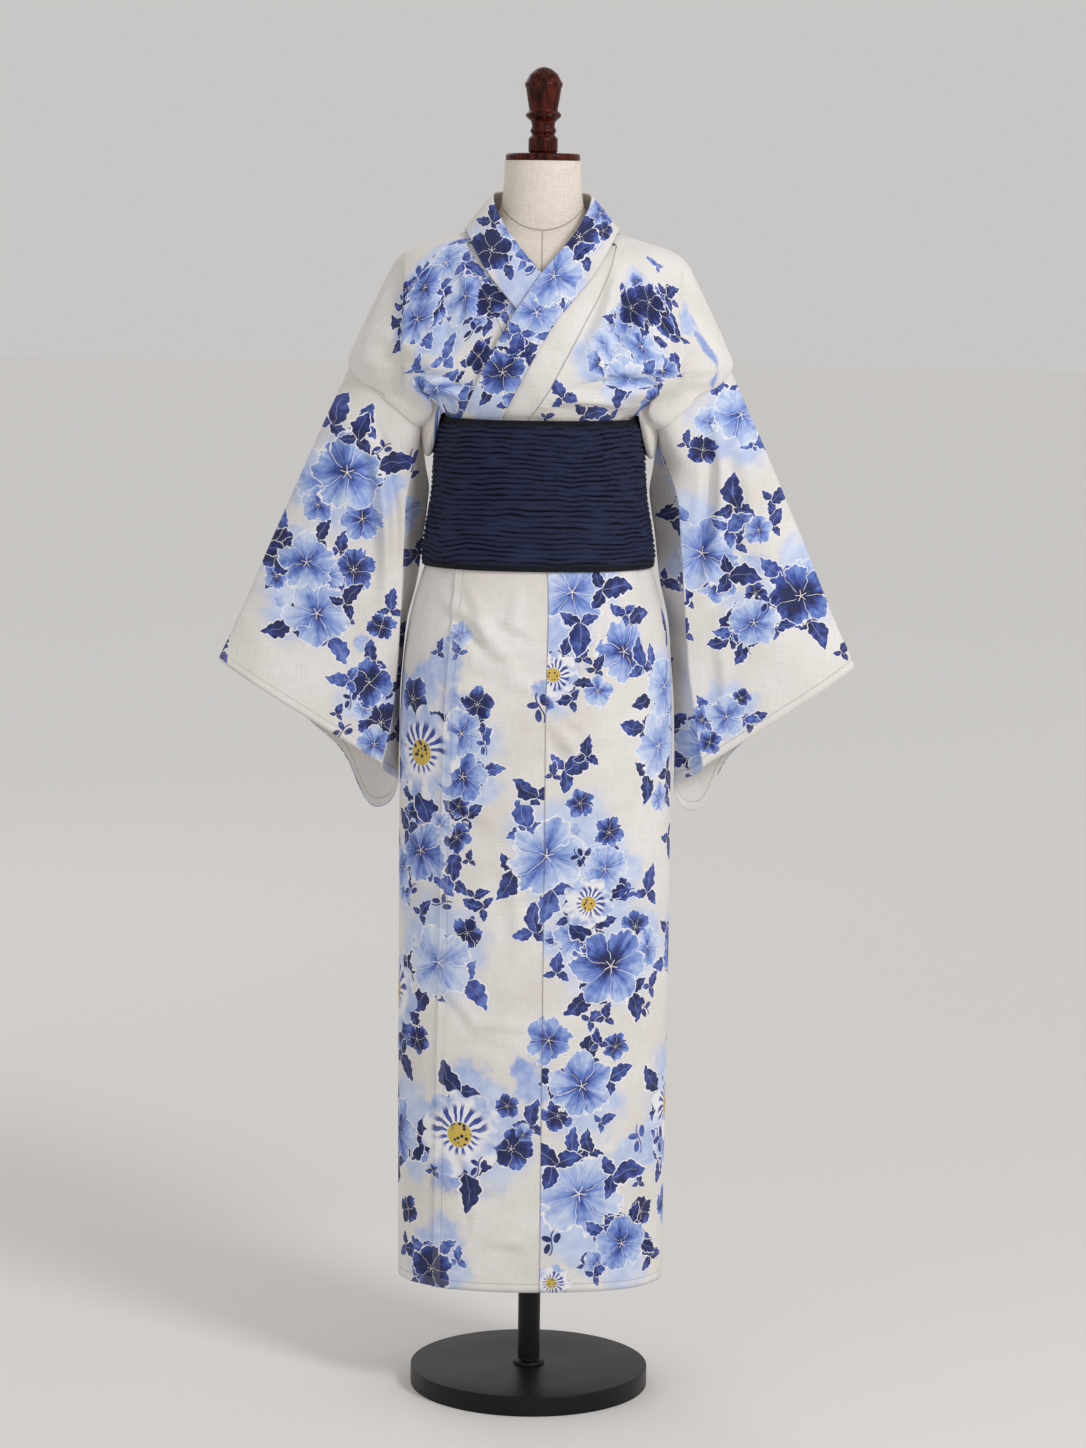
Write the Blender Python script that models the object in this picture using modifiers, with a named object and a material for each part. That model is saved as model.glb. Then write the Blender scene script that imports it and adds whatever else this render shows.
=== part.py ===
"""Cotton yukata robe with its waist wrap, on a limbless dress form and stand.

Metres, +Z up. The origin is the middle of the base plate's underside. The front
faces -Y and the wearer's left is at +X.
"""

import math

import bmesh
import bpy

# Walls
CLOTH = 0.0015
BAND = 0.0020
OBI_WALL = 0.0024
SEAM_GAP = 0.0005

# Heights
OBI_BOTTOM_Z = 1.044
OBI_TOP_Z = 1.2268
FOLD_TOP_Z = 1.2315
OKUMI_TOP_Z = 1.437

# How far each layer's middle lies outside the innermost one
OVER_SKIRT = 0.0025
OVER_CHEST = 0.0067
COLLAR_RISE = 0.0033
COLLAR_HOLLOW = 0.0020

# Waist wrap
OBI_RIBS = 20
RIB_RISE = 0.0020
OBI_END_HALF_ANGLE = 24.0

# Sleeve
SHOULDER_X = 0.238
SHOULDER_Z = 1.286
CUFF_X = 0.401
CUFF_Z = 0.923
SLEEVE_HALF_DEPTH = 0.036
CUFF_HALF_DEPTH = 0.026

# Stand
BASE_RADIUS = 0.150
BASE_HEIGHT = 0.025
POLE_RADIUS = 0.014
FOOT_RADIUS = 0.020
FOOT_HEIGHT = 0.006
FORM_BOTTOM_Z = 0.800
FORM_TOP_Z = 1.5385
REST_GAP = 0.0003

# Each row is a level of the robe's innermost layer: half width, depth in front, depth
# behind, and how square the section is (2 is an ellipse).
ROBE = [
    dict(z=0.143, side=0.1660, front=0.0940, back=0.0900, power=2.3),
    dict(z=0.300, side=0.1672, front=0.0990, back=0.0950, power=2.3),
    dict(z=0.500, side=0.1682, front=0.1050, back=0.1000, power=2.3),
    dict(z=0.760, side=0.1687, front=0.1150, back=0.1110, power=2.3),
    dict(z=0.900, side=0.1670, front=0.1180, back=0.1160, power=2.3),
    dict(z=0.950, side=0.1620, front=0.1140, back=0.1120, power=2.3),
    dict(z=0.995, side=0.1535, front=0.1085, back=0.1060, power=2.3),
    dict(z=1.028, side=0.1440, front=0.1050, back=0.1030, power=2.3),
    dict(z=1.044, side=0.1391, front=0.1036, back=0.1018, power=2.3),
    dict(z=1.090, side=0.1316, front=0.0998, back=0.0984, power=2.3),
    dict(z=1.130, side=0.1251, front=0.0968, back=0.0964, power=2.3),
    dict(z=1.160, side=0.1220, front=0.0950, back=0.0950, power=2.3),
    dict(z=1.200, side=0.1170, front=0.0900, back=0.0930, power=2.3),
    dict(z=1.224, side=0.1155, front=0.0905, back=0.0940, power=2.3),
    dict(z=1.230, side=0.1195, front=0.0925, back=0.0955, power=2.25),
    dict(z=1.236, side=0.1300, front=0.0975, back=0.0990, power=2.2),
    dict(z=1.243, side=0.1460, front=0.1015, back=0.1005, power=2.15),
    dict(z=1.250, side=0.1650, front=0.1045, back=0.1015, power=2.05),
    dict(z=1.258, side=0.1850, front=0.1070, back=0.1025, power=1.95),
    dict(z=1.267, side=0.2060, front=0.1090, back=0.1035, power=1.85),
    dict(z=1.276, side=0.2230, front=0.1105, back=0.1040, power=1.80),
    dict(z=1.290, side=0.2360, front=0.1115, back=0.1045, power=1.75),
    dict(z=1.331, side=0.2200, front=0.1095, back=0.1035, power=1.75),
    dict(z=1.378, side=0.1980, front=0.0985, back=0.0995, power=1.80),
    dict(z=1.404, side=0.1845, front=0.0865, back=0.0945, power=1.90),
    dict(z=1.419, side=0.1750, front=0.0760, back=0.0885, power=2.00),
    dict(z=1.430, side=0.1580, front=0.0650, back=0.0820, power=2.10),
    dict(z=1.439, side=0.1310, front=0.0560, back=0.0750, power=2.20),
    dict(z=1.446, side=0.1080, front=0.0500, back=0.0700, power=2.20),
    dict(z=1.451, side=0.0930, front=0.0460, back=0.0660, power=2.20),
]

# The side of the chest between the obi and the armhole, where the robe blouses out.
ARMHOLE_SIDE = [
    dict(z=1.214, side=0.1720, front=0.1060, back=0.1030, power=2.2),
    dict(z=1.250, side=0.2110, front=0.1110, back=0.1045, power=1.95),
    dict(z=1.272, side=0.2290, front=0.1115, back=0.1045, power=1.80),
    dict(z=1.290, side=0.2360, front=0.1115, back=0.1045, power=1.75),
]

# Inner face of the waist wrap.
OBI = [
    dict(z=1.044, side=0.1420, front=0.1086, back=0.1040, power=2.3),
    dict(z=1.090, side=0.1347, front=0.1048, back=0.1002, power=2.3),
    dict(z=1.130, side=0.1283, front=0.1018, back=0.0982, power=2.3),
    dict(z=1.170, side=0.1256, front=0.1013, back=0.0970, power=2.3),
    dict(z=1.228, side=0.1223, front=0.1026, back=0.0990, power=2.3),
]

# The dress form, from its underside to the top of its neck.
FORM = [
    dict(z=0.800, side=0.1340, front=0.0860, back=0.0840, power=2.3),
    dict(z=0.808, side=0.1420, front=0.0930, back=0.0900, power=2.3),
    dict(z=0.850, side=0.1490, front=0.1010, back=0.0980, power=2.3),
    dict(z=0.920, side=0.1500, front=0.1040, back=0.1020, power=2.3),
    dict(z=0.980, side=0.1440, front=0.1010, back=0.0990, power=2.3),
    dict(z=1.044, side=0.1334, front=0.0981, back=0.0965, power=2.3),
    dict(z=1.090, side=0.1290, front=0.0972, back=0.0957, power=2.3),
    dict(z=1.130, side=0.1226, front=0.0942, back=0.0937, power=2.3),
    dict(z=1.165, side=0.1184, front=0.0896, back=0.0905, power=2.3),
    dict(z=1.200, side=0.1130, front=0.0860, back=0.0890, power=2.3),
    dict(z=1.250, side=0.1140, front=0.0880, back=0.0900, power=2.3),
    dict(z=1.310, side=0.1300, front=0.0950, back=0.0920, power=2.3),
    dict(z=1.350, side=0.1460, front=0.0920, back=0.0910, power=2.2),
    dict(z=1.385, side=0.1620, front=0.0830, back=0.0870, power=2.1),
    dict(z=1.404, side=0.1680, front=0.0750, back=0.0840, power=2.0),
    dict(z=1.4174, side=0.1640, front=0.0680, back=0.0800, power=2.0),
    dict(z=1.4280, side=0.1480, front=0.0600, back=0.0740, power=2.1),
    dict(z=1.4370, side=0.1220, front=0.0530, back=0.0680, power=2.1),
    dict(z=1.4440, side=0.1000, front=0.0480, back=0.0620, power=2.1),
    dict(z=1.4520, side=0.0780, front=0.0460, back=0.0560, power=2.0),
    dict(z=1.4640, side=0.0600, front=0.0460, back=0.0500, power=2.0),
    dict(z=1.4800, side=0.0520, front=0.0460, back=0.0480, power=2.0),
    dict(z=1.5050, side=0.0480, front=0.0450, back=0.0460, power=2.0),
    dict(z=1.5385, side=0.0465, front=0.0450, back=0.0450, power=2.0),
]

# Across the front: the seam of the overlap panel, its free edge, and the collar's lower
# edge, as distances past the middle on the wearer's own side.
FRONT_LINES = [
    dict(z=0.143, seam=0.0120, free=-0.1200),
    dict(z=0.650, seam=0.0115, free=-0.1140),
    dict(z=0.880, seam=0.0112, free=-0.1100),
    dict(z=1.044, seam=0.0110, free=-0.0980),
    dict(z=1.130, seam=0.0000, free=-0.0900),
    dict(z=1.200, seam=-0.0130, free=-0.0720),
    dict(z=1.224, seam=-0.0140, free=-0.0590),
    dict(z=1.243, seam=-0.0020, free=-0.0480),
    dict(z=1.263, seam=0.0100, free=-0.0375),
    dict(z=1.311, seam=0.0345, free=-0.0120),
    dict(z=1.348, seam=0.0532, free=0.0090),
    dict(z=1.378, seam=0.0683, free=0.0355),
    dict(z=1.404, seam=0.0800, free=0.0570),
    dict(z=1.430, seam=0.0880, free=0.0730),
    dict(z=1.437, seam=0.0897, free=0.0765),
    dict(z=1.451, seam=0.0930, free=0.0830),
]

# The collar from the middle of the back to its lower end: its neck edge, then its outer
# edge. Below the crossing its depth comes from the chest that it lies on.
COLLAR = [
    dict(nx=0.000, nz=1.503, ny=0.060, ox=0.000, oz=1.4470, oy=0.0745),
    dict(nx=0.030, nz=1.502, ny=0.051, ox=0.044, oz=1.4480, oy=0.0695),
    dict(nx=0.050, nz=1.500, ny=0.028, ox=0.0765, oz=1.4530, oy=0.0455),
    dict(nx=0.060, nz=1.496, ny=-0.006, ox=0.0940, oz=1.4545, oy=0.0030),
    dict(nx=0.055, nz=1.478, ny=-0.036, ox=0.0910, oz=1.4500, oy=-0.0340),
    dict(nx=0.040, nz=1.452, ny=-0.064, ox=0.0800, oz=1.4290, oy=-0.0660),
    dict(nx=0.020, nz=1.427, ny=-0.084, ox=0.0640, oz=1.4020, oy=-0.0900),
    dict(nx=0.000, nz=1.4035, ny=-0.0930, ox=0.0445, oz=1.3780, oy=-0.1020),
    dict(nx=-0.017, nz=1.378, ny=-0.1000, ox=0.0240, oz=1.3540, oy=-0.1040),
    dict(nx=-0.034, nz=1.352, ny=-0.1000, ox=0.0080, oz=1.3300, oy=-0.1040),
    dict(nx=-0.061, nz=1.3035, ny=-0.1000, ox=-0.0180, oz=1.2830, oy=-0.1040),
    dict(nx=-0.084, nz=1.2530, ny=-0.1000, ox=-0.0380, oz=1.2440, oy=-0.1040),
    dict(nx=-0.094, nz=1.2270, ny=-0.1000, ox=-0.0460, oz=1.2250, oy=-0.1040),
    dict(nx=-0.096, nz=1.2130, ny=-0.1000, ox=-0.0500, oz=1.2120, oy=-0.1040),
]

# Down the sleeve's inner side: where the front layer folds back, and the roll of the
# back layer beside the body. The wearer's right is at -X.
SLEEVE_INNER = [
    dict(along=0.00, z=1.212, right_fold=0.161, left_fold=0.164, roll=0.161),
    dict(along=0.10, z=1.172, right_fold=0.162, left_fold=0.168, roll=0.1480),
    dict(along=0.20, z=1.130, right_fold=0.163, left_fold=0.171, roll=0.1370),
    dict(along=0.32, z=1.080, right_fold=0.164, left_fold=0.174, roll=0.1430),
    dict(along=0.45, z=1.025, right_fold=0.166, left_fold=0.178, roll=0.1500),
    dict(along=0.58, z=0.970, right_fold=0.168, left_fold=0.182, roll=0.1625),
    dict(along=0.72, z=0.912, right_fold=0.171, left_fold=0.187, roll=0.1700),
    dict(along=0.86, z=0.853, right_fold=0.177, left_fold=0.196, roll=0.1715),
    dict(along=1.00, z=0.795, right_fold=0.190, left_fold=0.206, roll=0.1715),
]

# The cuff's lower edge on the back layer, with its rounded corner.
CUFF_BACK = [
    dict(x=0.1715, z=0.768),
    dict(x=0.177, z=0.748),
    dict(x=0.187, z=0.736),
    dict(x=0.198, z=0.732),
    dict(x=0.210, z=0.738),
    dict(x=0.219, z=0.751),
    dict(x=0.225, z=0.774),
    dict(x=0.234, z=0.797),
    dict(x=0.262, z=0.823),
    dict(x=0.401, z=0.923),
]

# The turned finial, from its foot up.
FINIAL = [
    dict(z=1.5480, r=0.0000),
    dict(z=1.5480, r=0.0179),
    dict(z=1.5665, r=0.0179),
    dict(z=1.5700, r=0.0134),
    dict(z=1.5725, r=0.0155),
    dict(z=1.5745, r=0.0160),
    dict(z=1.5765, r=0.0153),
    dict(z=1.5800, r=0.0136),
    dict(z=1.5860, r=0.0150),
    dict(z=1.5905, r=0.0205),
    dict(z=1.5935, r=0.0222),
    dict(z=1.5960, r=0.0205),
    dict(z=1.5990, r=0.0172),
    dict(z=1.6100, r=0.0192),
    dict(z=1.6260, r=0.0216),
    dict(z=1.6290, r=0.0231),
    dict(z=1.6320, r=0.0231),
    dict(z=1.6340, r=0.0216),
    dict(z=1.6430, r=0.0170),
    dict(z=1.6490, r=0.0095),
    dict(z=1.6515, r=0.0000),
]
CAP_RADIUS = 0.0455
CAP_TOP_Z = 1.5477


def soft_step(value, start, end):
    """0 before start, 1 after end, smooth between."""
    t = min(max((value - start) / (end - start), 0.0), 1.0)
    return t * t * (3.0 - 2.0 * t)


def mix(a, b, t):
    return a + (b - a) * t


def read(rows, key, at, by="z"):
    """The named column at a level, smooth between rows and held at the ends."""
    if at <= rows[0][by]:
        return rows[0][key]
    if at >= rows[-1][by]:
        return rows[-1][key]
    i = max(k for k in range(len(rows) - 1) if rows[k][by] <= at)
    span = rows[i + 1][by] - rows[i][by]
    t = (at - rows[i][by]) / span
    rise = (rows[i + 1][key] - rows[i][key]) / span
    before = rise
    after = rise
    if i > 0:
        before = (rows[i][key] - rows[i - 1][key]) / (rows[i][by] - rows[i - 1][by])
    if i + 2 < len(rows):
        after = (rows[i + 2][key] - rows[i + 1][key]) / (rows[i + 2][by] - rows[i + 1][by])
    start = 0.5 * (before + rise) if before * rise > 0 else 0.0
    end = 0.5 * (rise + after) if rise * after > 0 else 0.0
    bend = 3.0 * t * t - 2.0 * t * t * t
    value = rows[i][key] * (1 - bend) + rows[i + 1][key] * bend
    value += span * start * (t * t * t - 2 * t * t + t)
    return value + span * end * (t * t * t - t * t)


def section_at(rows, z, grow=0.0):
    """Half width, front depth, back depth and power at a level, grown outwards."""
    sides = [read(rows, key, z) + grow for key in ("side", "front", "back")]
    return sides + [read(rows, "power", z)]


def blend_sections(a, b, t):
    return [mix(p, q, t) for p, q in zip(a, b)]


def on_section(section, angle):
    """The point of a section at an angle from the front middle, in degrees."""
    side, front, back, power = section
    turn = math.radians(angle)
    across = math.sin(turn)
    ahead = math.cos(turn)
    x = side * math.copysign(abs(across) ** (2 / power), across)
    depth = front if ahead > 0 else back
    return x, -math.copysign(depth * abs(ahead) ** (2 / power), ahead)


def angle_at(section, x):
    """The angle on the front half at which a section reaches x."""
    side, _, _, power = section
    share = min(abs(x) / side, 1.0)
    return math.copysign(math.degrees(math.asin(share ** (power / 2))), x)


def over_rise(x, z, angle):
    """How far the over layer stands out, where x grows towards the wearer's left."""
    under_collar = read(FRONT_LINES, "free", z)
    thick = soft_step(x, -under_collar - 0.065, -under_collar - 0.035)
    thick *= soft_step(z, 1.165, 1.205)
    rise = mix(OVER_SKIRT, OVER_CHEST, thick)
    rise *= 1.0 - soft_step(z, 1.370, 1.450)
    return rise * (1.0 - soft_step(angle, 46.0, 62.0))


def front_depth(x, z, grow):
    """Depth of the robe's front at a place on it."""
    section = section_at(ROBE, z, grow)
    return on_section(section, angle_at(section, x))[1]


def new_collection(name):
    collection = bpy.data.collections.new(name)
    bpy.context.scene.collection.children.link(collection)
    return collection


def new_material(name, colour, roughness):
    material = bpy.data.materials.new(name)
    material.use_nodes = True
    shader = material.node_tree.nodes["Principled BSDF"]
    shader.inputs["Base Color"].default_value = (*colour, 1.0)
    shader.inputs["Roughness"].default_value = roughness
    return material


def add_grid(work, columns, rows, place):
    """A grid of faces whose points place(across, along) puts where they belong."""
    made = bmesh.ops.create_grid(work, x_segments=columns, y_segments=rows, size=0.5)
    for point in made["verts"]:
        across = round((point.co.x + 0.5) * columns)
        along = round((point.co.y + 0.5) * rows)
        point.co = place(across, along)


def finish_mesh(name, work, material, wall=0.0):
    """Turns the work into an object of the robe's collection, with a wall if asked."""
    bmesh.ops.remove_doubles(work, verts=work.verts, dist=1e-6)
    mesh = bpy.data.meshes.new(name)
    work.to_mesh(mesh)
    work.free()
    mesh.materials.append(material)
    mesh.shade_smooth()
    obj = bpy.data.objects.new(name, mesh)
    ROBE_PARTS.objects.link(obj)
    if wall:
        solid = obj.modifiers.new("wall", "SOLIDIFY")
        solid.thickness = wall
        solid.offset = 0.0
    return obj


SKIRT_LEVELS = [0.143, 0.28, 0.44, 0.60, 0.76, 0.87, 0.94, 0.99, 1.022]
UNDER_LEVELS = [1.044, 1.075, 1.105, 1.135, 1.165, 1.196]
FOLD_LEVELS = [1.214, 1.2265, 1.2335, 1.2400, 1.2470, 1.2550, 1.2640]
ARMHOLE_LEVELS = [1.2715, 1.2780, 1.2840, 1.2900]
UPPER_LEVELS = [1.318, 1.348, 1.376, 1.398, 1.412, 1.423, 1.431, 1.437, 1.445, 1.451]
ROW_LEVELS = SKIRT_LEVELS + UNDER_LEVELS + FOLD_LEVELS + ARMHOLE_LEVELS + UPPER_LEVELS
FOLD_START = len(SKIRT_LEVELS) + len(UNDER_LEVELS)
ARMHOLE_START = FOLD_START + len(FOLD_LEVELS)

# The blouse at the side: level above the fold's top and distance outside the obi's inner
# face, first where it only lies over the obi's top edge, then where it hangs down.
BLOUSE = [
    dict(over_z=-0.0120, over_out=-0.0045, drop_z=-0.0120, drop_out=-0.0045, fall=0.0),
    dict(over_z=-0.0020, over_out=-0.0030, drop_z=-0.0020, drop_out=-0.0030, fall=0.0),
    dict(over_z=0.0010, over_out=0.0015, drop_z=0.0012, drop_out=0.0020, fall=0.0),
    dict(over_z=0.0018, over_out=0.0060, drop_z=-0.0002, drop_out=0.0066, fall=0.0),
    dict(over_z=0.0045, over_out=0.0090, drop_z=-0.0010, drop_out=0.0078, fall=1.0),
    dict(over_z=0.0110, over_out=0.0110, drop_z=-0.0020, drop_out=0.0130, fall=1.0),
    dict(over_z=0.0220, over_out=0.0125, drop_z=0.0060, drop_out=0.0185, fall=0.6),
]
SIDE_FALL = 0.052
BACK_FALL = 0.024
FRONT_FALL = 0.004
SIDE_SWELL = 0.007


def fall_at(angle):
    """How far the blouse hangs over the obi, by angle from the front middle."""
    turn = abs(angle)
    to_side = soft_step(turn, 62.0, 86.0)
    to_back = soft_step(turn, 100.0, 140.0)
    return mix(mix(FRONT_FALL, SIDE_FALL, to_side), BACK_FALL, to_back)


def robe_point(row, angle, rise=0.0):
    """A point of the robe's innermost layer, or of one that stands rise outside it."""
    turn = abs(angle)
    z = ROW_LEVELS[row]
    section = section_at(ROBE, z, rise)
    if FOLD_START <= row < ARMHOLE_START:
        step = BLOUSE[row - FOLD_START]
        over = soft_step(turn, 52.0, 64.0)
        hang = soft_step(turn, 60.0, 76.0)
        at_side = soft_step(turn, 70.0, 88.0) * (1.0 - soft_step(turn, 100.0, 130.0))
        out = mix(step["over_out"], step["drop_out"], hang) + rise
        out += SIDE_SWELL * at_side * step["fall"] * (1.0 if step["fall"] < 1.0 else 0.25)
        hung_z = FOLD_TOP_Z + mix(step["over_z"], step["drop_z"], hang)
        hung_z -= step["fall"] * fall_at(angle) * hang
        wrap = section_at(OBI, hung_z, out)
        section = blend_sections(section, wrap, over)
        z = mix(z, hung_z, over)
    elif ARMHOLE_START <= row < ARMHOLE_START + len(ARMHOLE_LEVELS):
        step = ARMHOLE_SIDE[row - ARMHOLE_START]
        side_row = [step["side"], step["front"], step["back"], step["power"]]
        at_side = soft_step(turn, 38.0, 72.0) * (1.0 - soft_step(turn, 108.0, 150.0))
        share = (row - ARMHOLE_START) / (len(ARMHOLE_LEVELS) - 1)
        back_z = mix(ARMHOLE_BACK_LOW_Z, ARMHOLE_BACK_HIGH_Z, share)
        z = mix(mix(z, back_z, soft_step(turn, 95.0, 145.0)), step["z"], at_side)
        section = section_at(ROBE, mix(z, ROW_LEVELS[row], 0.5 if turn > 90 else 0.0), rise)
        section = blend_sections(section, [s + rise for s in side_row[:3]] + side_row[3:], at_side)
    x, y = on_section(section, angle)
    return x, y, z


# Half the armhole's opening in each of its rows, as an angle.
ARMHOLE_GAP = [24.0, 22.0, 12.0, 0.0]
ARMHOLE_BACK_LOW_Z = 1.238
ARMHOLE_BACK_HIGH_Z = 1.290


def armhole_angle(row):
    """Half the armhole's opening in any row."""
    step = row - ARMHOLE_START
    return ARMHOLE_GAP[step] if 0 <= step < len(ARMHOLE_GAP) else 0.0


def front_edge_angle(row, line, gap=0.0):
    """Angle of a named front line in a row, on the wearer's own side."""
    z = ROW_LEVELS[row]
    section = section_at(ROBE, z)
    return angle_at(section, read(FRONT_LINES, line, z) + gap)


def body_panel(name, hand, material):
    """Front and back of one side in one piece over the shoulder. hand is 1 on the left."""
    work = bmesh.new()
    rows = len(ROW_LEVELS) - 1
    front_columns = 9
    back_columns = 7

    def place_front(across, along):
        line = "seam" if ROW_LEVELS[along] <= OKUMI_TOP_Z + 0.001 else "free"
        inner = front_edge_angle(along, line, SEAM_GAP / 2)
        outer = 90.0 - armhole_angle(along)
        angle = mix(inner, outer, across / front_columns)
        rise = 0.0
        if hand > 0:
            flat = robe_point(along, angle)
            rise = over_rise(flat[0], ROW_LEVELS[along], angle)
        x, y, z = robe_point(along, angle, rise)
        return hand * x, y, z

    def place_back(across, along):
        inner = 90.0 + armhole_angle(along)
        centre = math.degrees(SEAM_GAP / 2 / 0.10)
        angle = mix(inner, 180.0 - centre, across / back_columns)
        x, y, z = robe_point(along, angle)
        return hand * x, y, z

    add_grid(work, front_columns, rows, place_front)
    add_grid(work, back_columns, rows, place_back)
    if hand < 0:
        bmesh.ops.reverse_faces(work, faces=work.faces)
    return finish_mesh(name, work, material, CLOTH)


def okumi_panel(name, hand, material):
    """The half width sewn to the front edge. The left one lies on top."""
    work = bmesh.new()
    rows = ROW_LEVELS.index(OKUMI_TOP_Z)
    columns = 5

    def place(across, along):
        inner = front_edge_angle(along, "free")
        outer = front_edge_angle(along, "seam", -SEAM_GAP / 2)
        angle = mix(inner, outer, across / columns)
        rise = 0.0
        if hand > 0:
            flat = robe_point(along, angle)
            rise = over_rise(flat[0], ROW_LEVELS[along], angle)
        x, y, z = robe_point(along, angle, rise)
        return hand * x, y, z

    add_grid(work, columns, rows, place)
    if hand < 0:
        bmesh.ops.reverse_faces(work, faces=work.faces)
    return finish_mesh(name, work, material, CLOTH)


# The hidden end of the collar's right half, as a place between the collar's rows.
UNDER_COLLAR_END = 11.3
COLLAR_COLUMNS = 4


def smooth_row(rows, key, place):
    """The named column part way between rows, on a curve through all of them."""
    i = min(int(place), len(rows) - 2)
    t = place - i
    before = rows[max(i - 1, 0)][key]
    a = rows[i][key]
    b = rows[i + 1][key]
    after = rows[min(i + 2, len(rows) - 1)][key]
    slope_a = 0.5 * (b - before)
    slope_b = 0.5 * (after - a)
    bend = 3 * t * t - 2 * t * t * t
    return a * (1 - bend) + b * bend + slope_a * (t**3 - 2 * t * t + t) + slope_b * (t**3 - t * t)


def collar_point(across, place, hand):
    """A point of the collar, across from its neck edge, along from the back middle."""
    x = mix(smooth_row(COLLAR, "nx", place), smooth_row(COLLAR, "ox", place), across)
    z = mix(smooth_row(COLLAR, "nz", place), smooth_row(COLLAR, "oz", place), across)
    free_y = mix(smooth_row(COLLAR, "ny", place), smooth_row(COLLAR, "oy", place), across)
    neck_rest = soft_step(place, 6.0, 7.0)
    outer_rest = soft_step(place, 5.0, 6.0)
    rest = mix(neck_rest, outer_rest, across)
    y = free_y - COLLAR_HOLLOW * math.sin(math.pi * across)
    if rest > 0.0:
        angle = angle_at(section_at(ROBE, z), x)
        rise = COLLAR_RISE
        if hand > 0:
            rise += over_rise(x, z, angle)
        y = mix(y, front_depth(x, z, rise), rest)
    return hand * x, y, z


def collar_band(name, material):
    """One band round the neck, its left end over the right one."""
    work = bmesh.new()
    half = 2 * (len(COLLAR) - 1)

    def place(across, along):
        hand = 1 if along >= half else -1
        reach = len(COLLAR) - 1 if hand > 0 else UNDER_COLLAR_END
        return collar_point(across / COLLAR_COLUMNS, abs(along - half) / half * reach, hand)

    add_grid(work, COLLAR_COLUMNS, 2 * half, place)
    return finish_mesh(name, work, material, BAND)


def armhole_edge(hand):
    """The body's edge round the armhole, from the shoulder down the front and up the back."""
    top = ARMHOLE_START + len(ARMHOLE_LEVELS) - 1
    front = []
    back = []
    for row in range(top - 1, ARMHOLE_START - 1, -1):
        angle = 90.0 - armhole_angle(row)
        rise = 0.0
        if hand > 0:
            rise = over_rise(0.15, ROW_LEVELS[row], angle)
        front.append(robe_point(row, angle, rise))
        back.append(robe_point(row, 180.0 - angle))
    ridge = robe_point(top, 90.0)
    under = robe_point(ARMHOLE_START - 1, 90.0)
    return ridge, front, under, back[::-1]


def along_line(points, share):
    """The point at a share of a broken line's length."""
    lengths = [math.dist(a, b) for a, b in zip(points, points[1:])]
    left = share * sum(lengths)
    for a, b, length in zip(points, points[1:], lengths):
        if left <= length:
            return [mix(p, q, left / length) for p, q in zip(a, b)]
        left -= length
    return list(points[-1])


def cuff_back_z(x):
    """Lower edge of the back layer at the cuff."""
    return read(CUFF_BACK, "z", x, by="x")


FRONT_SHARE = 11
TUCK_SHARE = 5
ROLL_SHARE = 5
BACK_SHARE = 9
SLEEVE_COLUMNS = FRONT_SHARE + TUCK_SHARE + ROLL_SHARE + BACK_SHARE
SLEEVE_ROWS = 9

# The sleeve's edge beside the body's, the tuck under the arm and the roll at the back
EDGE_OUT = 0.0014
EDGE_DOWN = 0.0007
UNDERARM_OUT = 0.006
UNDERARM_DOWN = 0.010
PLEAT_DEPTH = 0.012
ROLL_WIDTH = 0.034
ROLL_Y = 0.018


def sleeve_start(column, hand):
    """The sleeve's edge at the armhole, just outside the body's own edge."""
    ridge, front, under, back = armhole_edge(hand)
    if column <= FRONT_SHARE:
        x, y, z = along_line([ridge] + front, column / FRONT_SHARE)
    elif column < FRONT_SHARE + TUCK_SHARE + ROLL_SHARE:
        share = (column - FRONT_SHARE) / (TUCK_SHARE + ROLL_SHARE)
        low = (under[0] + UNDERARM_OUT, under[1], front[-1][2] - UNDERARM_DOWN)
        x, y, z = along_line([front[-1], low, back[0]], share)
    else:
        share = (column - FRONT_SHARE - TUCK_SHARE - ROLL_SHARE) / BACK_SHARE
        x, y, z = along_line(back + [ridge], share)
    return [x + EDGE_OUT, y, z - EDGE_DOWN]


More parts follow.
